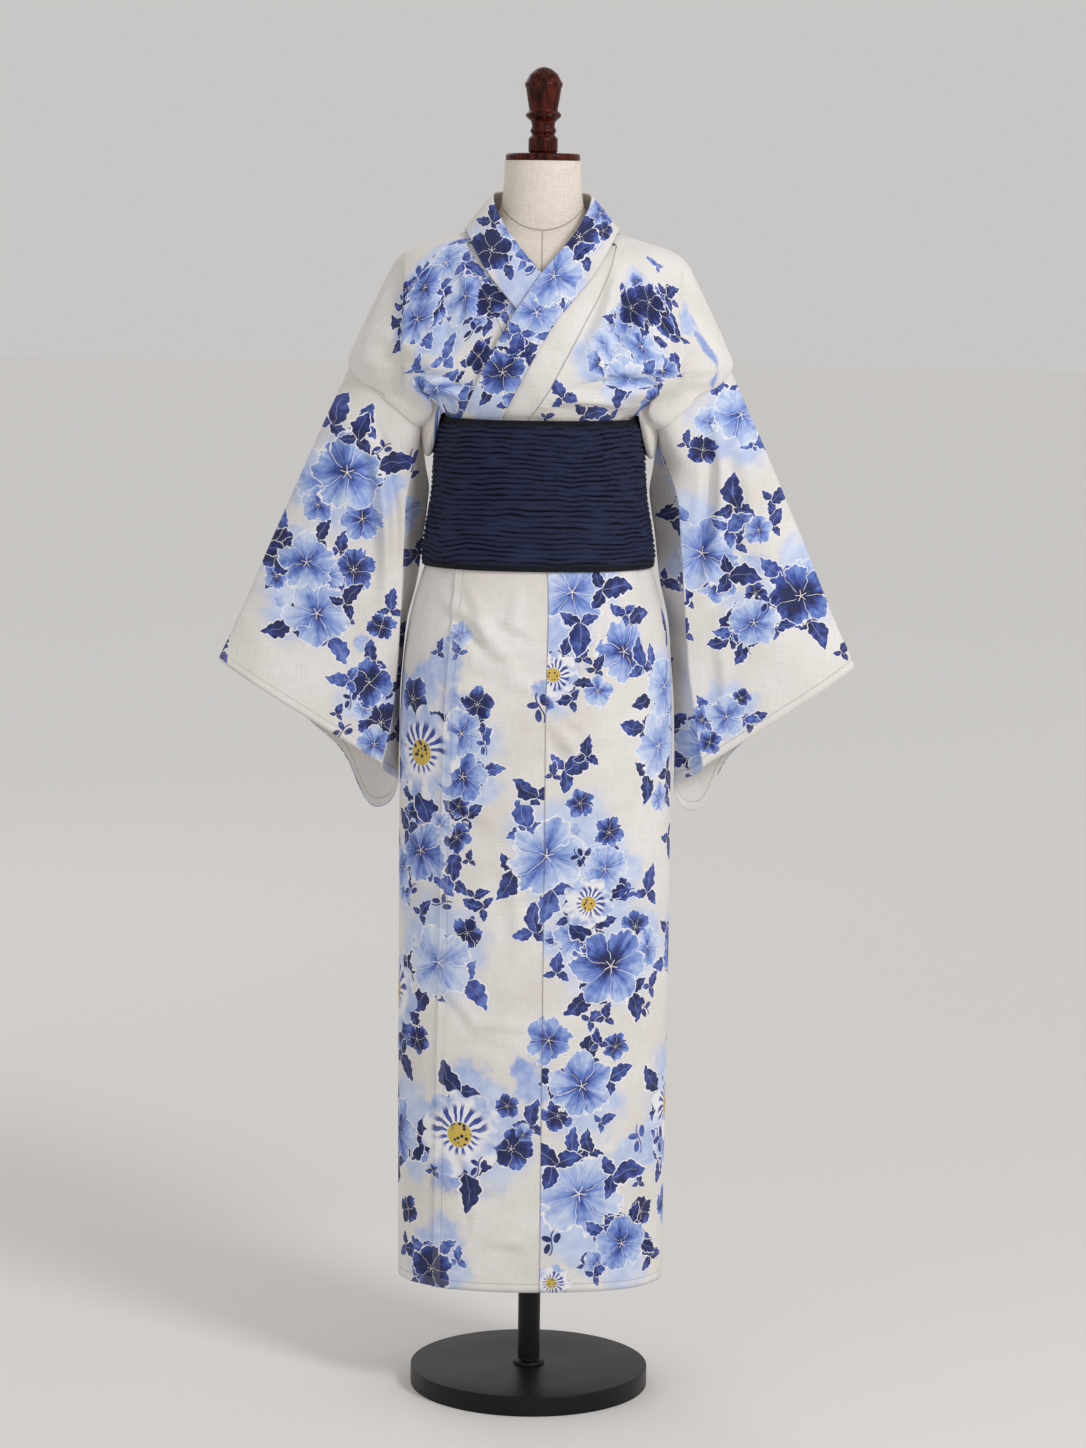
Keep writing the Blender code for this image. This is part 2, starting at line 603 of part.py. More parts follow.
def sleeve_rest(column, along, hand):
    """Where the hanging sleeve's own form puts a point, away from the armhole."""
    out_x = mix(SHOULDER_X, CUFF_X, along)
    out_z = mix(SHOULDER_Z, CUFF_Z, along)
    in_z = read(SLEEVE_INNER, "z", along, by="along")
    fold_x = read(SLEEVE_INNER, "left_fold" if hand > 0 else "right_fold", along, by="along")
    roll_x = read(SLEEVE_INNER, "roll", along, by="along")
    half = mix(SLEEVE_HALF_DEPTH, CUFF_HALF_DEPTH, along)
    cuff = soft_step(along, 0.55, 1.0)
    if column <= FRONT_SHARE:
        share = column / FRONT_SHARE
        x = mix(out_x, fold_x, share)
        z = mix(out_z, in_z, share)
        return [x, -half * math.sin(math.pi / 2 * min(share * 3.0, 1.0)), z]
    if column <= FRONT_SHARE + TUCK_SHARE:
        share = (column - FRONT_SHARE) / TUCK_SHARE
        tuck = math.sin(math.pi * share)
        x = mix(fold_x, roll_x, share) + PLEAT_DEPTH * tuck * (1 - share)
        y = mix(-half, ROLL_Y, soft_step(share, 0.0, 1.0))
        z = mix(in_z, mix(in_z, cuff_back_z(roll_x), cuff), share)
        return [x, y, z]
    if column <= FRONT_SHARE + TUCK_SHARE + ROLL_SHARE:
        share = (column - FRONT_SHARE - TUCK_SHARE) / ROLL_SHARE
        x = roll_x + ROLL_WIDTH * share**2
        y = mix(ROLL_Y, half, math.sin(math.pi / 2 * share))
        z = mix(in_z + 0.10 * (x - roll_x), cuff_back_z(x), cuff)
        return [x, y, z]
    share = (column - FRONT_SHARE - TUCK_SHARE - ROLL_SHARE) / BACK_SHARE
    start_x = roll_x + ROLL_WIDTH
    x = mix(start_x, out_x, share**1.5)
    level = mix(in_z + 0.0034, out_z, share)
    z = mix(level, mix(cuff_back_z(x), out_z, share**6), cuff)
    return [x, half * math.sin(math.pi / 2 * min((1 - share) * 3.0, 1.0)), z]


def sleeve(name, hand, material):
    work = bmesh.new()

    def place(across, along):
        column = across % SLEEVE_COLUMNS
        share = along / SLEEVE_ROWS
        start = sleeve_start(column, hand)
        rest = sleeve_rest(column, share, hand)
        settle = soft_step(share, 0.0, 0.24)
        follow = sleeve_rest(column, 0.0, hand)
        drift = [s - f for s, f in zip(start, follow)]
        x, y, z = [r + d * (1.0 - settle) for r, d in zip(rest, drift)]
        return hand * x, y, z

    add_grid(work, SLEEVE_COLUMNS, SLEEVE_ROWS, place)
    if hand > 0:
        bmesh.ops.reverse_faces(work, faces=work.faces)
    return finish_mesh(name, work, material, CLOTH)


OBI_COLUMNS = 32
OBI_INNER_ROWS = 4
OBI_END_CELLS = 8


def rib_rise(angle, z):
    """Height of the crinkle on the wrap's outer face, uneven from rib to rib."""
    share = (z - OBI_BOTTOM_Z) / (OBI_TOP_Z - OBI_BOTTOM_Z)
    edge = min(1.0, 9.0 * share, 9.0 * (1.0 - share))
    wander = 0.35 * math.sin(math.radians(2 * angle) + 5.0 * share)
    size = 0.72 + 0.28 * math.sin(11.0 * share + math.radians(3 * angle))
    wave = 0.5 + 0.5 * math.cos(2 * math.pi * OBI_RIBS * share + math.pi + wander)
    return edge * RIB_RISE * size * wave


def obi_wrap(name, material):
    """A closed ring wall: crinkled outside, plain inside."""
    work = bmesh.new()
    outer_rows = 2 * OBI_RIBS
    height = OBI_TOP_Z - OBI_BOTTOM_Z
    loop_rows = outer_rows + OBI_INNER_ROWS + 2

    def place(across, along):
        angle = 360.0 * (across % OBI_COLUMNS) / OBI_COLUMNS
        step = along % loop_rows
        if step <= outer_rows:
            z = OBI_BOTTOM_Z + height * step / outer_rows
            out = OBI_WALL + rib_rise(angle, z)
        else:
            share = (step - outer_rows - 1) / OBI_INNER_ROWS
            z = OBI_TOP_Z - height * share
            out = 0.0
        x, y = on_section(section_at(OBI, z, out), angle)
        return x, y, z

    add_grid(work, OBI_COLUMNS, loop_rows, place)
    bmesh.ops.recalc_face_normals(work, faces=work.faces)
    return finish_mesh(name, work, material)


def obi_end(name, material):
    """The wrap's own outer end, which lies on it at the back."""
    work = bmesh.new()

    def place(across, along):
        z = mix(OBI_BOTTOM_Z + 0.005, OBI_TOP_Z - 0.030, along / OBI_END_CELLS)
        angle = 180.0 + mix(-OBI_END_HALF_ANGLE, OBI_END_HALF_ANGLE, across / OBI_END_CELLS)
        section = section_at(OBI, z, OBI_WALL + RIB_RISE + CLOTH / 2 + 2 * REST_GAP)
        x, y = on_section(section, angle)
        return x, y, z

    add_grid(work, OBI_END_CELLS, OBI_END_CELLS, place)
    return finish_mesh(name, work, material, CLOTH)


def dress_form(name, material):
    """The torso and neck, closed above and below."""
    work = bmesh.new()
    columns = 26
    levels = [row["z"] for row in FORM]

    def place(across, along):
        angle = 360.0 * (across % columns) / columns
        x, y = on_section(section_at(FORM, levels[along]), angle)
        return x, y, levels[along]

    add_grid(work, columns, len(levels) - 1, place)
    bmesh.ops.remove_doubles(work, verts=work.verts, dist=1e-6)
    edges = [edge for edge in work.edges if edge.is_boundary]
    bmesh.ops.holes_fill(work, edges=edges)
    bmesh.ops.recalc_face_normals(work, faces=work.faces)
    return finish_mesh(name, work, material)


def turned(name, profile, material, sides=28):
    """A profile of radius and level, bottom to top, turned about the stand's axis."""
    mesh = bpy.data.meshes.new(name)
    points = [(row["r"], 0.0, row["z"]) for row in reversed(profile)]
    mesh.from_pydata(points, [(i, i + 1) for i in range(len(points) - 1)], [])
    mesh.materials.append(material)
    obj = bpy.data.objects.new(name, mesh)
    ROBE_PARTS.objects.link(obj)
    turn = obj.modifiers.new("turn", "SCREW")
    turn.axis = "Z"
    turn.steps = sides
    turn.render_steps = sides
    turn.use_merge_vertices = True
    turn.merge_threshold = 0.00001
    turn.use_smooth_shade = True
    return obj


def disc_profile(radius, low, high, edge):
    """A flat disc with its rims broken."""
    return [
        dict(r=0.0, z=low),
        dict(r=radius - edge, z=low),
        dict(r=radius, z=low + edge),
        dict(r=radius, z=high - edge),
        dict(r=radius - edge, z=high),
        dict(r=0.0, z=high),
    ]


for old in list(bpy.data.objects):
    bpy.data.objects.remove(old, do_unlink=True)

ROBE_PARTS = new_collection("cotton_yukata_robe_on_dress_form")

cotton = new_material("printed_cotton", (0.83, 0.81, 0.79), 0.85)
navy_crepe = new_material("navy_crepe", (0.020, 0.028, 0.075), 0.7)
linen = new_material("ivory_linen", (0.80, 0.74, 0.66), 0.9)
mahogany = new_material("polished_mahogany", (0.075, 0.014, 0.010), 0.25)
black_steel = new_material("black_steel", (0.012, 0.012, 0.013), 0.45)

body_panel("body_right", -1, cotton)
body_panel("body_left", 1, cotton)
okumi_panel("okumi_right", -1, cotton)
okumi_panel("okumi_left", 1, cotton)
collar_band("collar", cotton)
sleeve("sleeve_right", -1, cotton)
sleeve("sleeve_left", 1, cotton)
obi_wrap("obi", navy_crepe)
obi_end("obi_end", navy_crepe)
dress_form("form_body", linen)

turned("base_plate", disc_profile(BASE_RADIUS, 0.0, BASE_HEIGHT, 0.0015), black_steel, 40)
foot_low = BASE_HEIGHT + REST_GAP
pole_profile = [
    dict(r=0.0, z=foot_low),
    dict(r=FOOT_RADIUS, z=foot_low),
    dict(r=FOOT_RADIUS - 0.001, z=foot_low + 0.5 * FOOT_HEIGHT),
    dict(r=POLE_RADIUS, z=foot_low + FOOT_HEIGHT),
    dict(r=POLE_RADIUS, z=FORM_BOTTOM_Z - REST_GAP),
    dict(r=0.0, z=FORM_BOTTOM_Z - REST_GAP),
]
turned("pole", pole_profile, black_steel)
cap_low = FORM_TOP_Z + REST_GAP
cap_profile = [
    dict(r=0.0, z=cap_low),
    dict(r=CAP_RADIUS - 0.0012, z=cap_low),
    dict(r=CAP_RADIUS, z=cap_low + 0.0012),
    dict(r=CAP_RADIUS, z=CAP_TOP_Z - 0.0030),
    dict(r=CAP_RADIUS - 0.0020, z=CAP_TOP_Z - 0.0010),
    dict(r=0.0300, z=CAP_TOP_Z),
    dict(r=0.0, z=CAP_TOP_Z),
]
turned("neck_cap", cap_profile, mahogany, 36)
turned("finial", FINIAL, mahogany, 20)
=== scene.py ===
"""Looks for a printed cotton yukata with its crinkled waist wrap, on a linen dress form."""

import math
import random

import bmesh
import bpy
import numpy as np
from mathutils import Matrix, Vector, noise


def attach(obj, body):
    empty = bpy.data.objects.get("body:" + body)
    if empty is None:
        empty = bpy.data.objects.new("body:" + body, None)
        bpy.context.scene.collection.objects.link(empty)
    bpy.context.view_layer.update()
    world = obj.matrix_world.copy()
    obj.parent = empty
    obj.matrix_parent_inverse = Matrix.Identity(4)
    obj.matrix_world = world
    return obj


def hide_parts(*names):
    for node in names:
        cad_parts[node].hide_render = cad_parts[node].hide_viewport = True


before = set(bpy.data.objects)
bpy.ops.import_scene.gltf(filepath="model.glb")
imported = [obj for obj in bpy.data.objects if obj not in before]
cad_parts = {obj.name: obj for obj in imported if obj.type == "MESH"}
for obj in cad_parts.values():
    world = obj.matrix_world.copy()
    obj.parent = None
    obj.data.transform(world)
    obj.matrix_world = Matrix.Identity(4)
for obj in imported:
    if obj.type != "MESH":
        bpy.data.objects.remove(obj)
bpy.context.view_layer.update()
bpy.ops.object.select_all(action="DESELECT")

# Sizes in metres, levels above the floor. These are the solids' own walls and reaches.
CLOTH = 0.0012
BAND = 0.0020
OBI_WALL = 0.0024
OBI_BOTTOM_Z = 1.044
OBI_TOP_Z = 1.2268
FOLD_TOP_Z = 1.2315
OKUMI_TOP_Z = 1.437
OVER_SKIRT = 0.0025
OVER_CHEST = 0.0067
COLLAR_RISE = 0.0033
COLLAR_HOLLOW = 0.0020
SHOULDER_X = 0.238
SHOULDER_Z = 1.286
CUFF_X = 0.401
CUFF_Z = 0.923
SLEEVE_HALF_DEPTH = 0.036
CUFF_HALF_DEPTH = 0.026
PLEAT_DEPTH = 0.012
ROLL_WIDTH = 0.034
ROLL_Y = 0.018
FORM_RING = 0.006

# How close the cloth's rows lie along its length, and how strongly the listed folds stand.
SKIRT_STEP = 0.0058
UNDER_OBI_STEP = 0.0120
CHEST_STEP = 0.0040
FOLD_STRENGTH = 2.8
FOLD_HOLLOW = 0.45
TUCK_DEPTH = 0.0060


def table(columns, rows):
    """Rows of numbers as rows with named columns."""
    return [dict(zip(columns.split(), row)) for row in rows]


ROBE = table("z side front back power", [
    (0.143, 0.1660, 0.0940, 0.0900, 2.3),
    (0.300, 0.1672, 0.0990, 0.0950, 2.3),
    (0.500, 0.1682, 0.1050, 0.1000, 2.3),
    (0.760, 0.1687, 0.1150, 0.1110, 2.3),
    (0.900, 0.1670, 0.1180, 0.1160, 2.3),
    (0.950, 0.1620, 0.1140, 0.1120, 2.3),
    (0.995, 0.1535, 0.1085, 0.1060, 2.3),
    (1.028, 0.1440, 0.1050, 0.1030, 2.3),
    (1.044, 0.1391, 0.1036, 0.1018, 2.3),
    (1.090, 0.1316, 0.0998, 0.0984, 2.3),
    (1.130, 0.1251, 0.0968, 0.0964, 2.3),
    (1.160, 0.1220, 0.0950, 0.0950, 2.3),
    (1.200, 0.1170, 0.0900, 0.0930, 2.3),
    (1.224, 0.1155, 0.0905, 0.0940, 2.3),
    (1.230, 0.1195, 0.0925, 0.0955, 2.25),
    (1.236, 0.1300, 0.0975, 0.0990, 2.2),
    (1.243, 0.1460, 0.1015, 0.1005, 2.15),
    (1.250, 0.1650, 0.1045, 0.1015, 2.05),
    (1.258, 0.1850, 0.1070, 0.1025, 1.95),
    (1.267, 0.2060, 0.1090, 0.1035, 1.85),
    (1.276, 0.2230, 0.1105, 0.1040, 1.80),
    (1.290, 0.2360, 0.1115, 0.1045, 1.75),
    (1.331, 0.2200, 0.1095, 0.1035, 1.75),
    (1.378, 0.1980, 0.0985, 0.0995, 1.80),
    (1.404, 0.1845, 0.0865, 0.0945, 1.90),
    (1.419, 0.1750, 0.0760, 0.0885, 2.00),
    (1.430, 0.1580, 0.0650, 0.0820, 2.10),
    (1.439, 0.1310, 0.0560, 0.0750, 2.20),
    (1.446, 0.1080, 0.0500, 0.0700, 2.20),
    (1.451, 0.0930, 0.0460, 0.0660, 2.20),
])
ARMHOLE_SIDE = [
    (1.214, 0.1720, 0.1060, 0.1030, 2.2),
    (1.250, 0.2110, 0.1110, 0.1045, 1.95),
    (1.272, 0.2290, 0.1115, 0.1045, 1.80),
    (1.290, 0.2360, 0.1115, 0.1045, 1.75),
]
OBI = table("z side front back power", [
    (1.044, 0.1420, 0.1086, 0.1040, 2.3),
    (1.090, 0.1347, 0.1048, 0.1002, 2.3),
    (1.130, 0.1283, 0.1018, 0.0982, 2.3),
    (1.170, 0.1256, 0.1013, 0.0970, 2.3),
    (1.228, 0.1223, 0.1026, 0.0990, 2.3),
])
FORM = table("z side front back power", [
    (0.800, 0.1340, 0.0860, 0.0840, 2.3),
    (0.808, 0.1420, 0.0930, 0.0900, 2.3),
    (0.850, 0.1490, 0.1010, 0.0980, 2.3),
    (0.920, 0.1500, 0.1040, 0.1020, 2.3),
    (0.980, 0.1440, 0.1010, 0.0990, 2.3),
    (1.044, 0.1334, 0.0981, 0.0965, 2.3),
    (1.090, 0.1290, 0.0972, 0.0957, 2.3),
    (1.130, 0.1226, 0.0942, 0.0937, 2.3),
    (1.165, 0.1184, 0.0896, 0.0905, 2.3),
    (1.200, 0.1130, 0.0860, 0.0890, 2.3),
    (1.250, 0.1140, 0.0880, 0.0900, 2.3),
    (1.310, 0.1300, 0.0950, 0.0920, 2.3),
    (1.350, 0.1460, 0.0920, 0.0910, 2.2),
    (1.385, 0.1620, 0.0830, 0.0870, 2.1),
    (1.404, 0.1680, 0.0750, 0.0840, 2.0),
    (1.4174, 0.1640, 0.0680, 0.0800, 2.0),
    (1.4280, 0.1480, 0.0600, 0.0740, 2.1),
    (1.4370, 0.1220, 0.0530, 0.0680, 2.1),
    (1.4440, 0.1000, 0.0480, 0.0620, 2.1),
    (1.4520, 0.0780, 0.0460, 0.0560, 2.0),
    (1.4640, 0.0600, 0.0460, 0.0500, 2.0),
    (1.4800, 0.0520, 0.0460, 0.0480, 2.0),
    (1.5050, 0.0480, 0.0450, 0.0460, 2.0),
    (1.5385, 0.0465, 0.0450, 0.0450, 2.0),
])
FRONT_LINES = table("z seam free", [
    (0.143, 0.0120, -0.1200),
    (0.650, 0.0115, -0.1140),
    (0.880, 0.0112, -0.1100),
    (1.044, 0.0110, -0.0980),
    (1.130, 0.0000, -0.0900),
    (1.200, -0.0130, -0.0720),
    (1.224, -0.0140, -0.0590),
    (1.243, -0.0020, -0.0480),
    (1.263, 0.0100, -0.0375),
    (1.311, 0.0345, -0.0120),
    (1.348, 0.0532, 0.0090),
    (1.378, 0.0683, 0.0355),
    (1.404, 0.0800, 0.0570),
    (1.430, 0.0880, 0.0730),
    (1.437, 0.0897, 0.0765),
    (1.451, 0.0930, 0.0830),
])
COLLAR = table("nx nz ny ox oz oy", [
    (0.000, 1.5030, 0.0600, 0.0000, 1.4470, 0.0745),
    (0.030, 1.5020, 0.0510, 0.0440, 1.4480, 0.0695),
    (0.050, 1.5000, 0.0280, 0.0765, 1.4530, 0.0455),
    (0.060, 1.4960, -0.0060, 0.0940, 1.4545, 0.0030),
    (0.055, 1.4780, -0.0360, 0.0910, 1.4500, -0.0340),
    (0.040, 1.4520, -0.0640, 0.0800, 1.4290, -0.0660),
    (0.020, 1.4270, -0.0840, 0.0640, 1.4020, -0.0900),
    (0.000, 1.4035, -0.0930, 0.0445, 1.3780, -0.1020),
    (-0.017, 1.3780, -0.1000, 0.0240, 1.3540, -0.1040),
    (-0.034, 1.3520, -0.1000, 0.0080, 1.3300, -0.1040),
    (-0.061, 1.3035, -0.1000, -0.0180, 1.2830, -0.1040),
    (-0.084, 1.2530, -0.1000, -0.0380, 1.2440, -0.1040),
    (-0.094, 1.2270, -0.1000, -0.0460, 1.2250, -0.1040),
    (-0.096, 1.2130, -0.1000, -0.0500, 1.2120, -0.1040),
])
UNDER_COLLAR_END = 11.3
SLEEVE_INNER = table("along z right_fold left_fold roll", [
    (0.00, 1.212, 0.161, 0.164, 0.1610),
    (0.10, 1.172, 0.162, 0.168, 0.1480),
    (0.20, 1.130, 0.163, 0.171, 0.1370),
    (0.32, 1.080, 0.164, 0.174, 0.1430),
    (0.45, 1.025, 0.166, 0.178, 0.1500),
    (0.58, 0.970, 0.168, 0.182, 0.1625),
    (0.72, 0.912, 0.171, 0.187, 0.1700),
    (0.86, 0.853, 0.177, 0.196, 0.1715),
    (1.00, 0.795, 0.190, 0.206, 0.1715),
])
CUFF_BACK = table("x z", [
    (0.1715, 0.768),
    (0.1770, 0.748),
    (0.1870, 0.736),
    (0.1980, 0.732),
    (0.2100, 0.738),
    (0.2190, 0.751),
    (0.2250, 0.774),
    (0.2340, 0.797),
    (0.2620, 0.823),
    (0.4010, 0.923),
])
BLOUSE = table("over_z over_out drop_z drop_out fall", [
    (-0.0120, -0.0045, -0.0120, -0.0045, 0.0),
    (-0.0020, -0.0030, -0.0020, -0.0030, 0.0),
    (0.0010, 0.0015, 0.0012, 0.0020, 0.0),
    (0.0018, 0.0060, -0.0002, 0.0066, 0.0),
    (0.0045, 0.0090, -0.0010, 0.0078, 1.0),
    (0.0110, 0.0110, -0.0020, 0.0130, 1.0),
    (0.0220, 0.0125, 0.0060, 0.0185, 0.6),
])
SIDE_FALL = 0.052
BACK_FALL = 0.024
FRONT_FALL = 0.004
SIDE_SWELL = 0.007

SKIRT_LEVELS = [0.143, 0.28, 0.44, 0.60, 0.76, 0.87, 0.94, 0.99, 1.022]
UNDER_LEVELS = [1.044, 1.075, 1.105, 1.135, 1.165, 1.196]
FOLD_LEVELS = [1.214, 1.2265, 1.2335, 1.2400, 1.2470, 1.2550, 1.2640]
ARMHOLE_LEVELS = [1.2715, 1.2780, 1.2840, 1.2900]
UPPER_LEVELS = [1.318, 1.348, 1.376, 1.398, 1.412, 1.423, 1.431, 1.437, 1.445, 1.451]
ROW_LEVELS = SKIRT_LEVELS + UNDER_LEVELS + FOLD_LEVELS + ARMHOLE_LEVELS + UPPER_LEVELS
FOLD_START = len(SKIRT_LEVELS) + len(UNDER_LEVELS)
ARMHOLE_START = FOLD_START + len(FOLD_LEVELS)
ARMHOLE_TOP = ARMHOLE_START + len(ARMHOLE_LEVELS) - 1
ARMHOLE_GAP = [24.0, 22.0, 12.0, 0.0]
ARMHOLE_BACK_LOW_Z = 1.238
ARMHOLE_BACK_HIGH_Z = 1.290

# Folds, listed one by one. Face F is the front and B the back; a fold runs from one place to
# the other, is wide to each side of its line, and stands up or, below zero, sinks in.
ROBE_FOLDS = table("face x0 z0 x1 z1 wide high", [
    ("F", -0.118, 1.010, -0.020, 0.915, 0.010, 0.0020),
    ("F", -0.112, 0.995, -0.060, 0.940, 0.007, -0.0014),
    ("F", -0.100, 0.930, 0.006, 0.948, 0.006, 0.0014),
    ("F", -0.060, 0.905, 0.004, 0.925, 0.008, -0.0012),
    ("F", 0.014, 0.862, 0.060, 0.800, 0.006, 0.0014),
    ("F", 0.012, 0.840, 0.040, 0.790, 0.005, -0.0011),
    ("F", 0.020, 0.830, 0.110, 0.842, 0.008, 0.0011),
    ("F", 0.130, 1.020, 0.060, 0.930, 0.012, 0.0018),
    ("F", 0.110, 1.000, 0.150, 0.900, 0.010, -0.0014),
    ("F", -0.130, 0.540, -0.060, 0.470, 0.007, 0.0011),
    ("F", -0.085, 0.480, 0.000, 0.478, 0.006, 0.0013),
    ("F", -0.100, 0.455, -0.030, 0.452, 0.008, -0.0010),
    ("F", -0.060, 0.205, 0.000, 0.202, 0.006, 0.0012),
    ("F", -0.095, 0.345, -0.070, 0.215, 0.006, 0.0011),
    ("F", -0.040, 0.700, -0.020, 0.560, 0.010, 0.0011),
    ("F", 0.030, 0.520, 0.120, 0.505, 0.008, 0.0012),
    ("F", 0.060, 0.300, 0.130, 0.330, 0.009, 0.0012),
    ("F", -0.050, 0.640, 0.060, 0.655, 0.010, 0.0009),
    ("F", 0.090, 1.415, 0.048, 1.300, 0.007, 0.0026),
    ("F", 0.112, 1.420, 0.070, 1.290, 0.008, -0.0022),
    ("F", 0.128, 1.410, 0.095, 1.300, 0.009, 0.0022),
    ("F", -0.100, 1.420, -0.085, 1.330, 0.008, 0.0018),
    ("F", -0.125, 1.410, -0.118, 1.300, 0.009, -0.0016),
    ("F", 0.010, 1.250, 0.100, 1.246, 0.005, 0.0030),
    ("F", 0.030, 1.262, 0.150, 1.270, 0.007, -0.0022),
    ("F", 0.050, 1.275, 0.140, 1.290, 0.007, 0.0018),
    ("F", -0.150, 1.262, -0.080, 1.250, 0.006, 0.0022),
    ("F", -0.150, 1.280, -0.095, 1.268, 0.006, -0.0016),
    ("F", -0.200, 1.330, -0.120, 1.280, 0.012, 0.0020),
    ("F", 0.200, 1.335, 0.130, 1.285, 0.012, 0.0022),
    ("F", -0.088, 1.028, -0.062, 0.955, 0.008, 0.0012),
    ("F", -0.026, 1.034, -0.036, 0.965, 0.009, 0.0010),
    ("F", -0.056, 0.986, 0.006, 0.955, 0.004, 0.0010),
    ("F", -0.052, 0.972, -0.012, 0.962, 0.004, -0.0008),
    ("F", -0.095, 0.913, -0.038, 0.941, 0.007, 0.0011),
    ("F", -0.088, 0.934, 0.006, 0.892, 0.009, 0.0010),
    ("F", 0.034, 0.868, 0.064, 0.848, 0.004, 0.0008),
    ("F", 0.132, 0.915, 0.070, 0.860, 0.008, 0.0010),
    ("F", 0.040, 1.030, 0.052, 0.950, 0.009, 0.0009),
    ("F", 0.092, 1.030, 0.096, 0.940, 0.008, -0.0010),
    ("F", -0.105, 0.760, -0.045, 0.735, 0.008, 0.0009),
    ("F", 0.050, 0.745, 0.125, 0.765, 0.008, 0.0009),
    ("F", -0.120, 0.410, -0.050, 0.395, 0.006, 0.0009),
    ("F", 0.040, 0.385, 0.120, 0.400, 0.007, 0.0009),
    ("F", -0.110, 0.265, -0.035, 0.275, 0.006, 0.0009),
    ("B", -0.060, 1.420, -0.080, 1.290, 0.014, 0.0026),
    ("B", 0.070, 1.415, 0.050, 1.280, 0.014, 0.0024),
    ("B", -0.120, 1.300, -0.020, 1.275, 0.010, -0.0022),
    ("B", 0.130, 1.310, 0.030, 1.280, 0.010, -0.0020),
    ("B", -0.100, 1.020, -0.050, 0.880, 0.012, 0.0020),
    ("B", 0.090, 1.015, 0.060, 0.870, 0.012, 0.0022),
    ("B", -0.040, 0.960, 0.060, 0.930, 0.010, -0.0014),
    ("B", -0.110, 0.640, -0.030, 0.615, 0.009, 0.0014),
    ("B", 0.030, 0.480, 0.110, 0.500, 0.009, 0.0014),
    ("B", -0.080, 0.280, 0.010, 0.300, 0.009, 0.0013),
])
SLEEVE_FOLDS = table("hand x0 z0 x1 z1 wide high", [
    (-1, -0.215, 1.235, -0.190, 0.980, 0.010, 0.0030),
    (-1, -0.205, 1.225, -0.178, 1.030, 0.007, -0.0028),
    (-1, -0.235, 1.240, -0.245, 1.050, 0.016, 0.0022),
    (-1, -0.300, 1.060, -0.330, 0.930, 0.018, -0.0018),
    (-1, -0.200, 0.960, -0.205, 0.840, 0.008, 0.0018),
    (1, 0.215, 1.235, 0.200, 0.990, 0.010, 0.0030),
    (1, 0.205, 1.225, 0.190, 1.030, 0.007, -0.0028),
    (1, 0.238, 1.240, 0.255, 1.060, 0.016, 0.0022),
    (1, 0.290, 1.050, 0.325, 0.930, 0.018, -0.0018),
    (1, 0.222, 0.960, 0.228, 0.850, 0.008, 0.0016),
])

